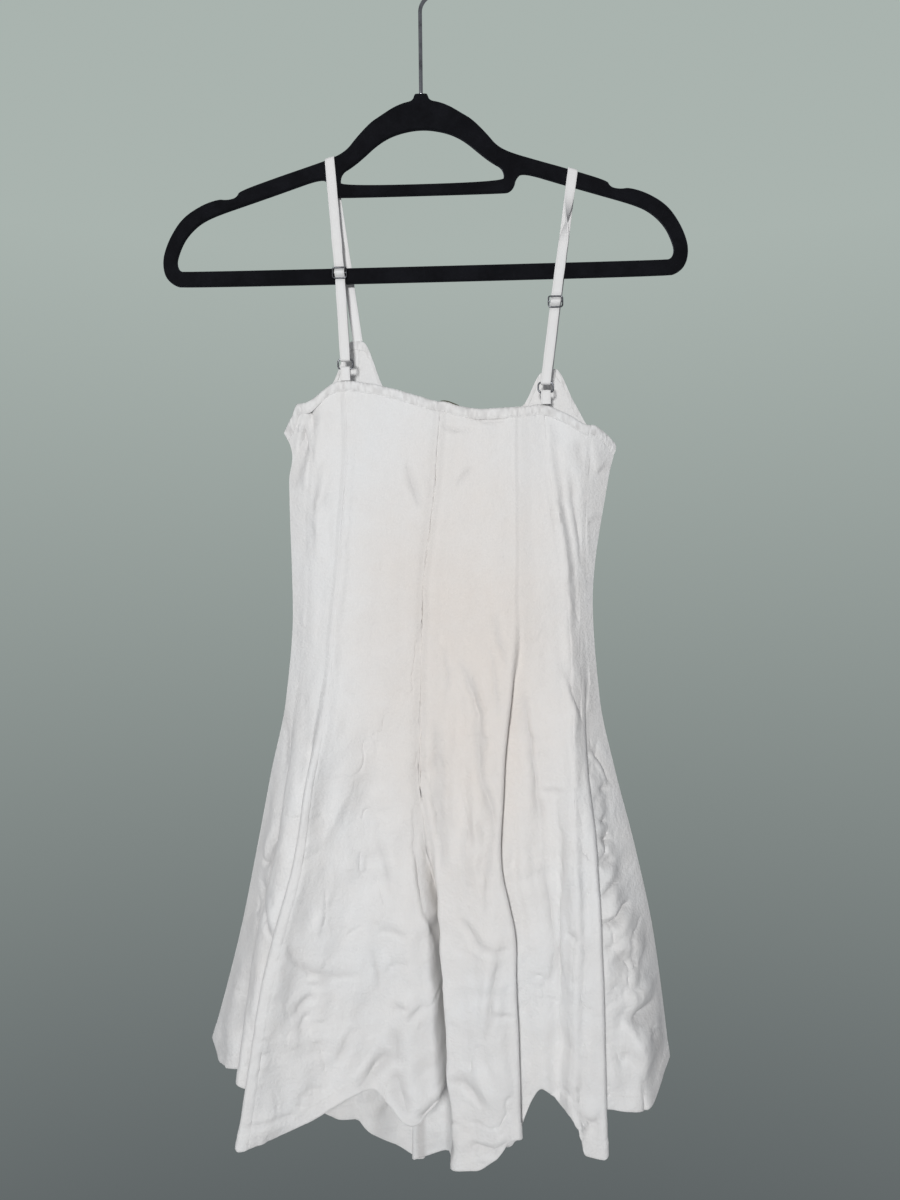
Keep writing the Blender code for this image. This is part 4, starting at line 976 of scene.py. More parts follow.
        # everything finer than the lines: swing of the columns, listed creases, facets, soft drapes,
        # wrinkles, gathers and hem
        c, seed = crumple, self.seed
        x, z = points[..., 0], points[..., 2]
        fromHem, fromTop = z - hem, top - z
        left, right = lineX(self.lines[0], z), lineX(self.lines[-1], z)
        lower = smoothStep((c["begins"] - z) / c["growth"])
        sideFree = smoothStep((x - left) / c["sideCalm"]) * smoothStep((right - x) / c["sideCalm"])
        column = np.arange(self.count)
        pleats = [(own, line) for own, line in zip(self.own, self.lines) if line["kind"] == "pleat"]
        away = np.min([np.where(column < first, travel[first] - travel, travel - travel[last - 1])
                       for (first, last), _ in pleats], axis=0)
        away = np.maximum(away, 0)
        closeFree = 0.2 + 0.8 * smoothStep(away / c["pleatCalm"])
        wideFree = 0.15 + 0.85 * smoothStep(away / c["pleatCalmWide"])
        wings = smoothStep((x - lineX(self.lines[-3], z)) / c["wingEdge"])
        wings = wings + smoothStep((lineX(self.lines[3], z) - x) / c["wingEdge"])
        lower = lower * (1 + 0.6 * wings)
        creases = creaseField(x, z, self.creases) * (c["creases"] + c["creasesOnWings"] * wings)
        soft = softNoise((x + 0.12 * z) / 17, z / 150, seed) * (c["softAbove"] + c["soft"] * lower)
        soft = soft + c["small"] * softNoise((x - 0.2 * z) / 9, z / 60, seed + 1) * (0.2 + lower)
        facets = facetField(x, z, seed + 10) * (c["facetsAbove"] + c["facets"] * lower)
        lumps = softNoise(x / 21, z / 27, seed + 2) * (0.2 + c["lumps"] * lower)
        # wrinkles along the lines where a noise is zero, which another noise breaks up into short ones
        contour = softNoise(x / 23, z / 31, seed + 8) + 0.25 * softNoise(x / 7, z / 9, seed + 9)
        broken = smoothStep(0.35 + 1.6 * softNoise(x / 19, z / 22, seed + 20))
        wrinkles = -c["wrinkle"] * np.exp(-(contour / c["wrinkleWidth"]) ** 2) * broken * (0.15 + lower)
        finer = softNoise(x / 11, z / 13, seed + 24) + 0.2 * softNoise(x / 4, z / 5, seed + 25)
        patchy = smoothStep(0.2 + 1.6 * softNoise(x / 33, z / 37, seed + 26))
        wrinkles = wrinkles - c["finer"] * np.exp(-(finer / c["finerWidth"]) ** 2) * patchy * (0.2 + lower)
        facets = facets + wrinkles
        gathers = c["gather"] * softNoise(x / 2.7, z / 22, seed + 3)
        gathers = gathers * np.exp(-np.clip(fromTop, 0, None) / c["gatherReach"])
        flare = softNoise(travel / 23 + 0 * z, 0 * z, seed + 4)
        flare = flare * smoothStep((c["flareReach"] - fromHem) / c["flareReach"]) * c["flare"]
        puckers = c["pucker"] * softNoise(travel / 3.2, fromHem / 5, seed + 5)
        puckers = puckers * np.exp(-((fromHem - c["hemStitch"]) / 5) ** 2)
        seams = 0.0
        for name in ("princessLeft", "centre", "princessRight"):
            beside = np.abs(travel - travel[self.at[name]])
            seams = seams - c["seamDent"] * np.exp(-(beside / c["seamWidth"]) ** 2)
            puckered = c["seamPucker"] * softNoise(z / 5.5, beside / 6, seed + 6)
            seams = seams + puckered * np.exp(-(beside / 5) ** 2)
        moved = creases * closeFree + (soft + facets + lumps + flare) * wideFree + gathers + puckers
        moved = moved * sideFree
        half = np.abs(points[..., 1])
        moved = np.maximum(moved, -c["stiff"] * half) + seams * np.minimum(1, half / 3)
        swing = c["swing"] * softNoise(z / 48, x / 90, seed + 7) * smoothStep((fromTop - 10) / 60) * sideFree
        points = points + self.normals(points) * moved[..., None]
        points[..., 0] += swing
        # painted shade, kept as the fold attribute: darker in creases and facet hollows, and on the cloth under
        # each pleat's edge
        fold = c["creaseShade"] * np.clip(-creases / 1.6, 0, 1) * closeFree
        fold = fold + c["facetShade"] * np.clip(0.3 - facets, 0, 1)
        for own, line in pleats:  # the shade on the cloth right under a pleat's edge
            under = column < own[0] if line["rise"] > 0 else column >= own[1]
            shown = np.abs(travel - travel[own[0]]) < c["pleatShadeReach"]
            gap = np.clip((lineX(line, z) - x) * line["rise"], 0, None)
            grown = smoothStep((line["start"] - z) / pleatShape["growth"])
            fold = np.maximum(fold, np.exp(-(gap / c["pleatShade"]) ** 2) * grown * under * shown)
        return points, np.clip(fold, 0, 1)


def panelPieces(side, rows, names, replaced):
    # the four long panels of one side, cut apart at the three seams, with a doubled hem
    seams = [side.at[name] for name in ("sideLeft", "princessLeft", "centre", "princessRight", "sideRight")]
    pieces, hemLines = [], []
    travel = side.travel(side.pointsAt(side.grid(rows, 1)[0])[int(0.5 * rows):])
    for half in (0, 1):
        heights, top, hem = side.grid(rows, half, travel)
        base = side.pointsAt(heights)
        points, fold = side.crumpled(base, travel, top, hem)
        normals = side.normals(points)
        fromHem = points[..., 2] - points[-1:, :, 2]
        doubled = smoothStep((drape["hemTurn"] - fromHem) / 1.4 + 0.5)
        dent = 0.35 * np.exp(-((fromHem - 10.6) / 0.8) ** 2)
        within = drape["standOff"] - 0.4 * doubled * (np.abs(points[..., 1]) > 2)
        beyond = drape["standOff"] + drape["cloth"] + drape["hemExtra"] * doubled * 0.7 - dent
        inner = points + normals * within[..., None]
        outer = points + normals * beyond[..., None]
        uv = np.stack([np.broadcast_to(travel, heights.shape), -heights], -1) * mm
        for number in (2 * half, 2 * half + 1):
            first, last = seams[number], seams[number + 1]
            # the legs' inner edges draw apart below the crotch
            pull = np.zeros((2, len(heights)))
            for place, column in enumerate((first, last)):
                if column == side.at["centre"]:
                    below = smoothStep((drape["crotch"] - heights[:, column]) / drape["legGapGrowth"])
                    pull[place] = below * drape["legGap"] / 2
            parts = []
            for wall in (inner, outer):
                part = wall[:, first:last + 1].copy()
                for place, (edge, inside) in enumerate(((0, 2), (-1, -3))):
                    along = part[:, inside] - part[:, edge]
                    along /= np.linalg.norm(along, axis=-1, keepdims=True)
                    part[:, edge] += along * pull[place][:, None]
                parts.append(part)
            piece = wallPiece(names[number], parts[0], parts[1], cotton,
                              uv[:, first:last + 1], {"fold": fold[:, first:last + 1]})
            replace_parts(piece, replaced[number])
            pieces.append(piece)
            row = np.argmin(np.abs(fromHem - 10.6), axis=0)[first:last + 1]
            columns = np.arange(last - first + 1)
            hemLines.append((parts[1][row, columns], normals[row, columns + first]))
    return pieces, hemLines


stitchShape = {"pitch": 2.7, "length": 1.9, "thick": 0.42}


def stitchRows(name, lines, material):
    # each stitch is a short bowed thread: a diamond section along a low arch, sunk into the cloth at its ends
    along = np.array([-0.5, -0.3, 0.0, 0.3, 0.5])
    bow = np.array([-0.35, 0.3, 0.42, 0.3, -0.35])
    thin = np.array([0.35, 0.9, 1.0, 0.9, 0.35])
    corner = np.array([(1, 0), (0, 1), (-1, 0), (0, -1)], float)
    points, quads, caps, count = [], [], [], 0
    for line, normal in lines:
        travelled = np.concatenate([[0], np.cumsum(np.linalg.norm(np.diff(line, axis=0), axis=1))])
        number = int(travelled[-1] / stitchShape["pitch"])
        if number < 1:
            continue
        at = (np.arange(number) + 0.5) * stitchShape["pitch"]
        spot = np.stack([np.interp(at, travelled, line[:, k]) for k in range(3)], -1)
        out = np.stack([np.interp(at, travelled, normal[:, k]) for k in range(3)], -1)
        ahead = np.stack([np.interp(at + 0.6, travelled, line[:, k]) for k in range(3)], -1)
        behind = np.stack([np.interp(at - 0.6, travelled, line[:, k]) for k in range(3)], -1)
        forward = ahead - behind
        forward /= np.linalg.norm(forward, axis=1, keepdims=True)
        out -= forward * np.einsum("ij,ij->i", out, forward)[:, None]
        out /= np.linalg.norm(out, axis=1, keepdims=True)
        beside = np.cross(forward, out)
        half = stitchShape["thick"] / 2
        rings = (spot[:, None, None] + forward[:, None, None] * (along * stitchShape["length"])[:, None, None]
                 + out[:, None, None] * (bow[:, None] * half + thin[:, None] * half * corner[:, 1])[..., None]
                 + beside[:, None, None] * (thin[:, None] * half * corner[:, 0])[..., None])
        index = count + np.arange(number * 20).reshape(number, 5, 4)
        quads.append(ringQuads(index[:, :-1], index[:, 1:]))
        caps.append(np.concatenate([index[:, 0, ::-1], index[:, -1]]))
        points.append(rings.reshape(-1, 3))
        count += number * 20
    meshObject(name, np.concatenate(points), [np.concatenate(quads + caps)], material)


back = ClothSide(backLines, backDepth, -1.0, drape["bandHeight"], drape["cellBack"], backCreases, 21)
front = ClothSide(frontLines, frontDepth, 1.0, drape["bindingHeight"], drape["cellFront"], frontCreases, 61)
backPanels, backHem = panelPieces(
    back, drape["rowsBack"], ("backSideLeft", "backCentreLeft", "backCentreRight", "backSideRight"),
    ("side_back_left", "centre_back_left", "centre_back_right", "side_back_right"))
frontPanels, frontHem = panelPieces(
    front, drape["rowsFront"], ("frontSideLeft", "frontCentreLeft", "frontCentreRight", "frontSideRight"),
    ("side_front_left", "centre_front_left", "centre_front_right", "side_front_right"))
print("panels: made", sum(len(piece.data.polygons) for piece in backPanels + frontPanels), "faces")

# Band along the back and bindings along the front's edges, gathered and sewn down

edgeShape = {
    "thick": 2.1, "rows": 13, "puckerLength": 1.55, "stitchUp": 1.5, "endGap": 0.08,
    "pucker": 0.34, "bindingPucker": 0.16,    # the band is gathered, the bindings hardly
}


def edgePiece(side, name, replaced, first, last):
    # rows down the strip; its outer face bulges by a fourth-power curve and is puckered across
    tall = side.edgeHeight
    pucker = edgeShape["pucker" if side is backEdge else "bindingPucker"]
    top = side.edges()[0]
    share = np.linspace(0, 1, edgeShape["rows"])[:, None]
    heights = top - tall * share
    points = side.pointsAt(heights)
    travel = side.travel(points)
    normals = side.normals(points)
    swell = np.sqrt(1 - np.abs(2 * share - 1) ** 4 * 0.75)
    fine = softNoise(travel / edgeShape["puckerLength"], share * 1.7, side.seed + 30)
    fine = fine + 0.6 * softNoise(travel / 5.5, share * 1.2, side.seed + 31)
    groove = 0.4 * np.exp(-(((1 - share) * tall - edgeShape["stitchUp"]) / 0.6) ** 2)
    thick = edgeShape["thick"] * swell + pucker * fine - groove
    begin, end = side.at[first], side.at[last]
    inner = points + normals * 0.1
    outer = points + normals * thick[..., None]
    for wall in (inner, outer):
        for edge, inside in ((begin, begin + 2), (end, end - 2)):
            if edge not in (0, side.count - 1):
                along = wall[:, inside] - wall[:, edge]
                along /= np.linalg.norm(along, axis=-1, keepdims=True)
                wall[:, edge] += along * edgeShape["endGap"]
    uv = np.stack([np.broadcast_to(travel, heights.shape), -heights], -1) * mm
    cut = slice(begin, end + 1)
    # painted shade, deepest in the hollows of the puckers, kept as the fold attribute
    fold = np.clip(0.25 - fine * 0.5, 0, 1) * np.ones_like(heights)
    piece = wallPiece(name, inner[:, cut], outer[:, cut], cottonTape, uv[:, cut],
                      {"fold": fold[:, cut]})
    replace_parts(piece, replaced)
    row = int(round((1 - edgeShape["stitchUp"] / tall) * (edgeShape["rows"] - 1)))
    return outer[row, cut], normals[row, cut]


backEdge = ClothSide(backLines, backDepth, -1.0, drape["bandHeight"], drape["cellEdge"], (), 21)
frontEdge = ClothSide(frontLines, frontDepth, 1.0, drape["bindingHeight"], drape["cellEdge"], (), 61)
edgeRows = (
    (backEdge, "backBand", "back_band", "sideLeft", "sideRight"),
    (frontEdge, "armholeBindingLeft", "armhole_binding_left", "sideLeft", "apexLeftOut"),
    (frontEdge, "necklineBinding", "neckline_binding", "apexLeftOut", "apexRightOut"),
    (frontEdge, "armholeBindingRight", "armhole_binding_right", "apexRightOut", "sideRight"),
)
edgeStitches = [edgePiece(*row) for row in edgeRows]
stitchRows("edgeStitching", edgeStitches, thread)
stitchRows("hemStitching", backHem + frontHem, thread)
print("band, bindings and stitching: made")

# Straps with their tabs, rings and sliders

strapShape = {
    "width": 8.5, "cloth": 1.1, "gap": 0.35, "step": 2.0,
    "loopWidth": 8.2, "loopRadius": 1.9, "loopTaper": 9.0, "layerStep": 1.8,
    "ringWide": 6.3, "ringTall": 4.5, "ringWire": 0.72, "ringAboveBand": 14.5,
    "sliderWidth": 13.2, "sliderHeight": 10.4, "sliderWire": 1.3, "sliderWeave": 1.85,
    "twistTop": -203.0, "twistLength": 62.0,
    "hangerThickness": 5.5, "hangerEdge": 1.5, "edgeCloth": 2.1,
}
# side, x of the cup's point, of the hanger's top, of the slider and of the ring, the slider's height
# and its distance behind the hanger's middle, half turns of the twist
strapRows = (
    ("Left", -58.5, -79.0, -71.2, -66.0, -273.5, 5.6, 0),
    ("Right", 107.0, 128.5, 112.4, 103.0, -303.0, 7.0, 1),
)

hangerShape = {"archTop": -126.0, "thickness": 5.5, "edge": 1.5}
collar = ((4.0, -5.5), (5.6, -5.0), (7.2, 0.4))
armTop = (
    (16, 2.2), (25, 6), (36, 13), (44, 18), (56.5, 31), (64, 40.6), (75, 47), (100, 55), (125, 62.7),
    (158, 73.7), (159.5, 77.5), (163, 80), (170, 81), (176, 80), (191, 84.7), (208, 95.5),
    (218.5, 111), (224.5, 126), (225.5, 137), (223, 147), (216.5, 153), (208, 155.5),
)
archUnder = ((0, 24), (21.3, 27.6), (36.5, 35.1), (51.8, 48.6), (61, 55.5), (68, 59.4))
armUnder = (
    (86, 63.8), (120, 75), (150, 84.5), (181.9, 94.5), (195.4, 101.9), (206.5, 113.7), (212.5, 127.8),
    (213.6, 135), (211, 141), (206, 142.5),
)
riser = ((70.5, 66.0), (69.0, 72.0), (80.5, 69.0), (79.0, 76.0), (75.0, 80.2), (70.0, 81.2))


def armHeight(x):
    # height and slope of the hanger's upper edge under a strap
    outline = np.array(collar + armTop[:12])
    ahead = np.interp(abs(x) + 1, outline[:, 0], outline[:, 1])
    behind = np.interp(abs(x) - 1, outline[:, 0], outline[:, 1])
    return hangerShape["archTop"] - (ahead + behind) / 2, (behind - ahead) / 2 * math.copysign(1, x)


def arcPoints(centre, radius, begin, end, count):
    angles = np.radians(np.linspace(begin, end, count))
    return np.stack([centre[0] + radius * np.cos(angles), centre[1] + radius * np.sin(angles)], -1)


def strapPath(row):
    # from the cup's point over the hanger, through the slider, round the ring and back up behind itself
    shape = strapShape
    _, cupX, topX, sliderX, ringX, sliderZ, sliderY, halfTurns = row
    cupZ = front.highestEdge(cupX, shape["width"])
    cupY = float(front.face(cupX, cupZ)) + shape["edgeCloth"] / 2
    armZ, slope = armHeight(topX)
    ringZ = back.highestEdge(ringX, shape["width"]) + shape["ringAboveBand"]
    ringY = float(back.face(ringX, ringZ - shape["ringAboveBand"])) - shape["edgeCloth"] / 2
    clear = shape["gap"] + shape["cloth"] / 2
    bendZ = armZ - shape["hangerEdge"]
    frontY = shape["hangerThickness"] / 2 + clear
    share = np.linspace(0, 1, math.ceil((bendZ - cupZ) / shape["step"]))
    rising = np.stack([cupX + (topX - cupX) * share, cupY + (frontY - cupY) * share + 4 * share * (1 - share),
                       cupZ + shape["gap"] + (bendZ - cupZ - shape["gap"]) * share], -1)
    corner = shape["hangerThickness"] / 2 - shape["hangerEdge"]
    over = np.concatenate([arcPoints((corner, bendZ), shape["hangerEdge"] + clear, 0, 90, 9)[1:],
                           arcPoints((-corner, bendZ), shape["hangerEdge"] + clear, 90, 180, 9)])
    over = np.column_stack([np.full(len(over), topX), over])
    wireZ = ringZ + shape["ringTall"]
    down = [bendZ, sliderZ, wireZ]
    downX, downY = [topX, sliderX, ringX], [-frontY, -sliderY, ringY - shape["loopRadius"]]
    half = shape["sliderHeight"] / 2
    heights = np.concatenate([
        np.linspace(bendZ, sliderZ + half, math.ceil((bendZ - sliderZ) / shape["step"]))[1:],
        np.linspace(sliderZ + half, sliderZ - half, 31)[1:],
        np.linspace(sliderZ - half, wireZ, math.ceil((sliderZ - wireZ) / shape["step"]))[1:]])
    fromMiddle = np.abs(heights - sliderZ) / (half - shape["sliderWire"] / 2)
    inside = -np.cos(np.pi * fromMiddle)
    beyond = (1 + np.cos(np.pi * (fromMiddle - 1))) / 2
    weave = shape["sliderWeave"] * np.where(fromMiddle < 1, inside, np.where(fromMiddle < 2, beyond, 0))
    falling = np.stack([np.interp(-heights, -np.array(down), downX),
                        smoothCurve(down, downY, heights) + weave, heights], -1)
    loop = arcPoints((ringY, wireZ), shape["loopRadius"], 180, 360, 17)[1:]
    loop = np.column_stack([np.full(len(loop), ringX), loop])
    endZ = sliderZ - half - 3.0
    backHeights = np.linspace(wireZ, endZ, math.ceil((endZ - wireZ) / shape["step"]))[1:]
    climbed = smoothStep((backHeights - wireZ) / (2 * shape["loopTaper"]))
    behind = 2 * shape["loopRadius"] + (shape["layerStep"] - 2 * shape["loopRadius"]) * climbed
    returning = np.stack([np.interp(-backHeights, -np.array(down), downX),
                          smoothCurve(down, downY, backHeights) + behind, backHeights], -1)
    points = np.concatenate([rising, over, falling, loop, returning])
    number = np.arange(len(points))
    hanging = number > len(rising) + len(over)
    nearTop = np.clip(1 - np.abs(points[:, 2] - armZ) / 14.0, 0, 1)
    twist = smoothStep((shape["twistTop"] - points[:, 2]) / shape["twistLength"])
    turned = np.where(hanging, twist, 0) * halfTurns * math.pi
    sides = np.stack([np.cos(turned), np.sin(turned), slope * nearTop], axis=1)
    close = np.where(hanging, np.clip(np.abs(points[:, 2] - wireZ) / shape["loopTaper"], 0, 1), 1)
    widths = shape["loopWidth"] + (shape["width"] - shape["loopWidth"]) * smoothStep(close)
    return points, sides, widths, (ringX, ringY, ringZ)


def ribbonPiece(name, path, sides, widths, replaced, seed):
    # a flat tape with rolled edges: a rounded oblong section carried along the path, a little uneven
    path, sides = np.asarray(path, float), np.asarray(sides, float)
    sides = sides / np.linalg.norm(sides, axis=1, keepdims=True)
    out = np.cross(np.gradient(path, axis=0), sides)
    out /= np.linalg.norm(out, axis=1, keepdims=True)
    travelled = np.concatenate([[0], np.cumsum(np.linalg.norm(np.diff(path, axis=0), axis=1))])
    angles = np.linspace(0, 2 * np.pi, 24, endpoint=False)
    flat = np.sign(np.cos(angles)) * np.abs(np.cos(angles)) ** 0.45
    tall = np.sign(np.sin(angles)) * np.abs(np.sin(angles)) ** 0.7
    roll = 1 + 0.35 * np.exp(-((np.abs(flat) - 0.86) / 0.1) ** 2)  # thicker along both folded edges
    width = np.asarray(widths) * (1 + 0.03 * softNoise(travelled / 13, 0 * travelled, seed))
    lean = 0.12 * softNoise(travelled / 9, 0 * travelled + 3, seed)
    rings = (path[:, None] + sides[:, None] * (width[:, None] / 2 * flat)[..., None]
             + out[:, None] * (strapShape["cloth"] * 0.42 * tall * roll + lean[:, None] * flat)[..., None])
    number = np.arange(rings.shape[0] * 24).reshape(-1, 24)
    quads = ringQuads(number[:-1], number[1:])
    caps = np.stack([number[0][::-1], number[-1]])
    uv = np.stack(np.broadcast_arrays(flat * 4.2, travelled[:, None]), -1) * mm
    # painted shade in a line just inside each rolled edge, kept as the fold attribute
    fold = np.broadcast_to(0.5 * np.exp(-((np.abs(flat) - 0.7) / 0.07) ** 2), rings.shape[:2])
    piece = meshObject(name, rings, [quads, caps], cottonTape, uv, {"fold": fold})
    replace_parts(piece, replaced)


def tabPath(ring, bandZ):
    # a doubled strip that stands on the band and goes over the ring's lower wire
    ringX, ringY, ringZ = ring
    radius = strapShape["loopRadius"]
    wireZ, foot = ringZ - strapShape["ringTall"], bandZ + strapShape["gap"]
    up = np.linspace(foot, wireZ, 9)
    spread = 0.9 + (radius - 0.9) * smoothStep((up - foot) / (wireZ - foot))
    rising = np.column_stack([ringY - spread, up])
    falling = np.column_stack([ringY + spread[::-1], up[::-1]])
    points = np.concatenate([rising, arcPoints((ringY, wireZ), radius, 180, 0, 17)[1:-1], falling])
    points = np.column_stack([np.full(len(points), ringX), points])
    narrow = smoothStep((points[:, 2] - foot) / (wireZ - foot))
    return points, strapShape["width"] + (strapShape["loopWidth"] - strapShape["width"]) * narrow


def sliderPaths(x, y, z):
    # a frame with round corners, and the bar across its middle
    wide = (strapShape["sliderWidth"] - strapShape["sliderWire"]) / 2
    tall = (strapShape["sliderHeight"] - strapShape["sliderWire"]) / 2
    corner = 1.9
    parts = [arcPoints((x + a * (wide - corner), z + b * (tall - corner)), corner, begin, begin + 90, 7)
             for a, b, begin in ((1, 1, 0), (-1, 1, 90), (-1, -1, 180), (1, -1, 270))]
    loop = np.concatenate(parts + [parts[0][:1]])
    flat = lambda line: np.column_stack([line[:, 0], np.full(len(line), y), line[:, 1]])
    bar = np.column_stack([np.linspace(x - wide, x + wide, 9), np.full(9, z)])
    return [flat(loop), flat(bar)]


for row in strapRows:
    side = row[0]
    small = side.lower()
    path, across, widths, ring = strapPath(row)
    ribbonPiece("strap" + side, path, across, widths, "strap_" + small, 81)
    tab, tabWidths = tabPath(ring, ring[2] - strapShape["ringAboveBand"])
    level = np.tile([1.0, 0.0, 0.0], (len(tab), 1))
    ribbonPiece("strapTab" + side, tab, level, tabWidths, "strap_tab_" + small, 91)
    angles = np.linspace(0, 2 * np.pi, 65)
    flatter = [np.sign(wave) * np.abs(wave) ** 0.62 for wave in (np.cos(angles), np.sin(angles))]
    circle = np.column_stack([ring[0] + strapShape["ringWide"] * flatter[0], np.full(65, ring[1]),
                              ring[2] + strapShape["ringTall"] * flatter[1]])
    circle[-1] = circle[0]
    tubePiece("ring" + side, [circle], strapShape["ringWire"], 14, trimChrome, "ring_" + small)
    tubePiece("slider" + side, sliderPaths(row[3], -row[6], row[5]), strapShape["sliderWire"] / 2, 12,
              trimChrome, "slider_" + small)
print("straps, rings and sliders: made")

# Neck label: a small woven loop that stands just above the band

labelShape = {"middle": 22.0, "width": 16.0, "below": 6.5, "shows": 1.6, "cloth": 0.8, "gap": 0.35}


def labelPiece(shape):
    # rows down the label, bowed out slightly between its two ends
    columns, rows = 33, 17
    x = np.linspace(shape["middle"] - shape["width"] / 2, shape["middle"] + shape["width"] / 2, columns)
    top = np.array([back.topHeight(value) for value in x])
    share = np.linspace(0, 1, rows)[:, None]
    rise = shape["shows"] * np.sin(np.pi * np.linspace(0.04, 0.96, columns)) ** 0.5
    heights = (top + rise) * (1 - share) + (top - shape["below"]) * share
    faces = back.face(np.broadcast_to(x, heights.shape), np.minimum(heights, top))
    outer = np.stack([np.broadcast_to(x, heights.shape), faces + shape["gap"], heights], axis=-1)
    inner = outer + np.array([0.0, shape["cloth"], 0.0])
    uv = np.stack([np.broadcast_to(x, heights.shape), -heights], -1) * mm
    piece = wallPiece("neckLabel", inner, outer, olive, uv)
    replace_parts(piece, "neck_label")


labelPiece(labelShape)

# Hanger: a flat flocked body with rounded edges, and its wire hook


def cutCorners(outline, times):
    # each corner is replaced by points a quarter and three quarters along its two edges
    outline = np.asarray(outline, float)
    for _ in range(times):
        after = np.roll(outline, -1, axis=0)
        outline = np.stack([0.75 * outline + 0.25 * after, 0.25 * outline + 0.75 * after], 1).reshape(-1, 2)
    return outline


def bothSides(half):
    right = [(x, hangerShape["archTop"] - drop) for x, drop in half]
    return right + [(-x, z) for x, z in reversed(right) if x > 0]


def hangerPiece():
    # outline and windows as a filled curve with a rounded edge, made a mesh and stood upright
    outlines = [bothSides(collar + armTop), bothSides(archUnder + (riser[0], riser[1])),
                bothSides(tuple(reversed(riser[2:])) + armUnder)]
    data = bpy.data.curves.new("hangerOutline", "CURVE")
    data.dimensions, data.fill_mode = "2D", "BOTH"
    data.extrude = (hangerShape["thickness"] / 2 - hangerShape["edge"]) * mm
    data.bevel_depth = hangerShape["edge"] * mm
    data.offset = -hangerShape["edge"] * mm
    data.bevel_resolution = 4
    for outline in outlines:
        outline = cutCorners(outline, 3)
        spline = data.splines.new("POLY")
        spline.points.add(len(outline) - 1)
        flat = np.column_stack([outline * mm, np.zeros(len(outline)), np.ones(len(outline))])
        spline.points.foreach_set("co", flat.ravel())
        spline.use_cyclic_u = True
    guide = addObject("hangerOutline", data)
    mesh = bpy.data.meshes.new_from_object(guide.evaluated_get(bpy.context.evaluated_depsgraph_get()))
    bpy.data.objects.remove(guide)
    mesh.name = "hangerBody"
    mesh.transform(Matrix.Rotation(math.pi / 2, 4, "X"))
    shape = bmesh.new()
    shape.from_mesh(mesh)
    bmesh.ops.remove_doubles(shape, verts=shape.verts, dist=1e-6)
    bmesh.ops.recalc_face_normals(shape, faces=shape.faces)
    shape.to_mesh(mesh)
    shape.free()
    mesh.shade_smooth()
    mesh.set_sharp_from_angle(angle=math.radians(35))
    mesh.materials.clear()
    mesh.materials.append(flock)
    piece = addObject("hangerBody", mesh)
    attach(piece, "root")
    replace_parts(piece, "hanger_body")


hookShape = {
    "wire": 3.3, "radius": 20.0, "fillet": 15.0, "stemTop": 76.0, "height": 126.0, "bend": 64.6, "sweep": 225.0,
}


def hookPath(shape):
    # a straight stem, a short bend to the side, then most of a circle over the rail
    centreUp = shape["height"] - shape["radius"] + shape["wire"] / 2
    stem = np.linspace(5.8, shape["stemTop"], 30)
    bend = np.radians(np.linspace(0, shape["bend"], 22))[1:]
    bendX, bendZ = shape["fillet"] * (1 - np.cos(bend)), shape["stemTop"] + shape["fillet"] * np.sin(bend)
    begin = math.atan2(bendZ[-1] - centreUp, bendX[-1])
    sweep = begin + np.radians(np.linspace(0, shape["sweep"], 90))[1:]
    x = np.concatenate([0 * stem, bendX, shape["radius"] * np.cos(sweep)])
    z = np.concatenate([stem, bendZ, centreUp + shape["radius"] * np.sin(sweep)])
    return np.column_stack([x, 0 * x, hangerShape["archTop"] + z])


hangerPiece()
tubePiece("hookWire", [hookPath(hookShape)], hookShape["wire"] / 2, 20, hookChrome,
          "hook_wire")
print("hanger and hook: made")

# Studio: pale floor, soft lights, grey all round that darkens downwards for the camera as painted fall-off of
# light

studio = {
    "floor": -1.78, "floorRadius": 1.0, "floorDark": (0.60, 0.60, 0.59), "floorPale": (0.68, 0.68, 0.67),
    "key": 22.5, "keySize": 0.22, "keyPlace": (-0.14, -1.78, -0.3),
    "fill": 1.5, "fillSize": 1.6, "fillPlace": (-1.5, -1.3, 0.1),
    "rear": 14.0, "rearSize": 1.4, "rearPlace": (-0.9, 1.9, 0.1),
    "aim": (0.01, 0.0, -0.62),
    "top": (0.40, 0.455, 0.428), "bottom": (0.088, 0.10, 0.106), "around": (0.15, 0.155, 0.165),
}


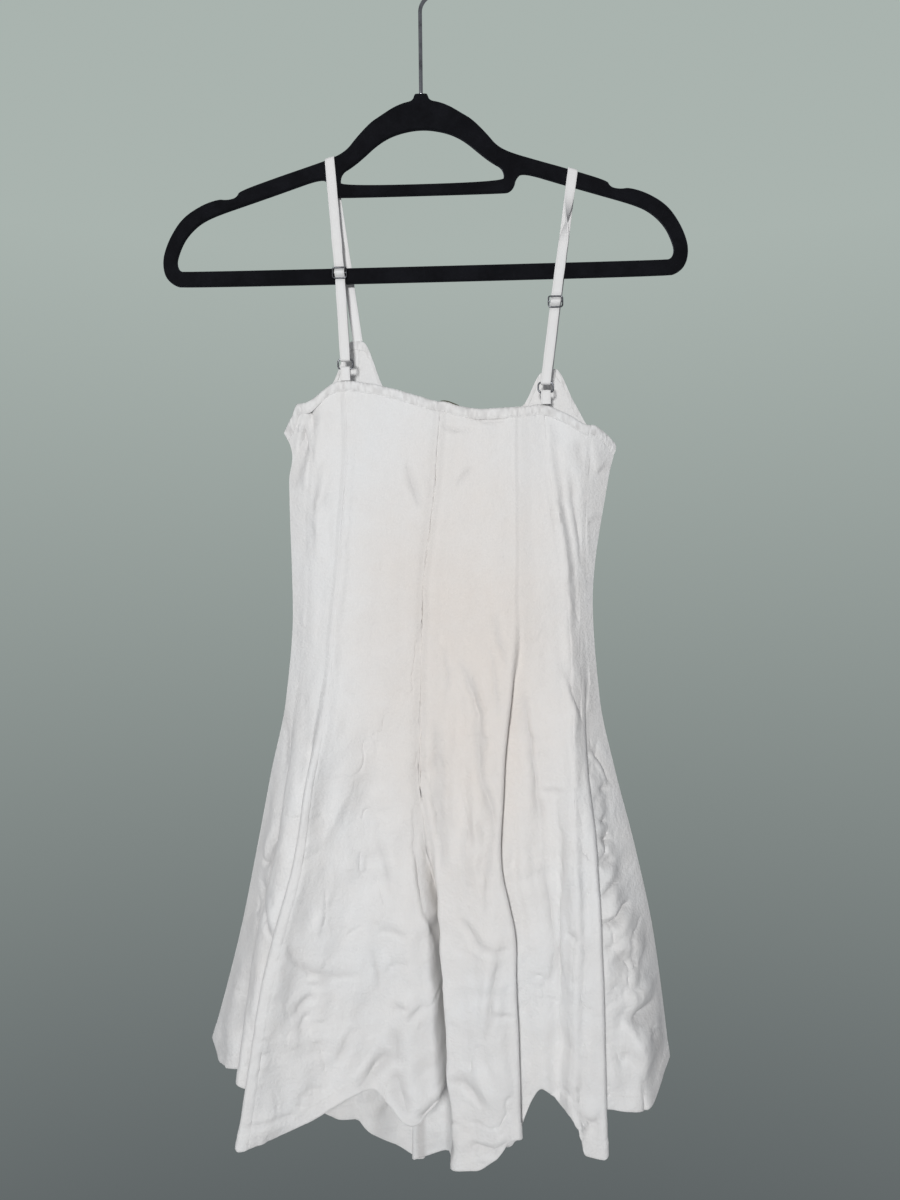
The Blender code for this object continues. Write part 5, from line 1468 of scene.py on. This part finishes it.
def floorPiece(values):
    # a disc of rings round the middle, dropping away a little at its rim
    radius = np.linspace(0.02, 1, 24)[:, None] * values["floorRadius"] / mm
    angles = np.linspace(0, 2 * np.pi, 96, endpoint=False)
    drop = -6 * smoothStep((radius / radius.max() - 0.96) / 0.04)
    points = np.stack([radius * np.cos(angles), radius * np.sin(angles),
                       values["floor"] / mm + drop + 0 * angles], -1)
    number = np.arange(24 * 96).reshape(24, 96)
    beside = np.roll(number, -1, 1)
    quads = np.stack([number[:-1], number[1:], beside[1:], beside[:-1]], -1).reshape(-1, 4)
    mesh = bpy.data.meshes.new("studioFloor")
    mesh.from_pydata((points.reshape(-1, 3) * mm).tolist(), [], quads.tolist() + [number[0].tolist()])
    mesh.shade_smooth()
    material, tree, shader, place = newMaterial("paleFloor", 0.7)
    mottle = groupNode(tree, mottleGroup, place.outputs["Object"], Size=3.0, Contrast=1.0)
    tone = mixColour(tree, mottle.outputs[0], values["floorDark"], values["floorPale"])
    tree.links.new(tone, shader.inputs["Base Color"])
    mesh.materials.append(material)
    addObject("studioFloor", mesh)


def areaLight(name, place, size, energy):
    data = bpy.data.lights.new(name, "AREA")
    data.shape, data.size, data.energy = "DISK", size, energy
    light = addObject(name, data)
    light.location = place
    light.rotation_euler = (Vector(studio["aim"]) - Vector(place)).to_track_quat("-Z", "Y").to_euler()


def makeWorld(values):
    # grey that darkens downwards for the camera, a painted fall-off of light, and an even soft grey for
    # everything else
    world = bpy.data.worlds.new("studioGrey")
    world.use_nodes = True
    tree = world.node_tree
    background = tree.nodes["Background"]
    place, parts, path = node(tree, "TexCoord"), node(tree, "SeparateXYZ"), node(tree, "LightPath")
    tree.links.new(place.outputs["Generated"], parts.inputs[0])
    seen = mixColour(tree, mapRange(tree, parts.outputs[2], -0.62, 0.35), values["bottom"], values["top"])
    tone = mixColour(tree, path.outputs["Is Camera Ray"], values["around"], seen)
    tree.links.new(tone, background.inputs["Color"])
    bpy.context.scene.world = world


floorPiece(studio)
areaLight("keyLight", studio["keyPlace"], studio["keySize"], studio["key"])
areaLight("fillLight", studio["fillPlace"], studio["fillSize"], studio["fill"])
areaLight("rearLight", studio["rearPlace"], studio["rearSize"], studio["rear"])
makeWorld(studio)
bpy.context.scene.view_settings.view_transform = "Standard"
print("studio: made")
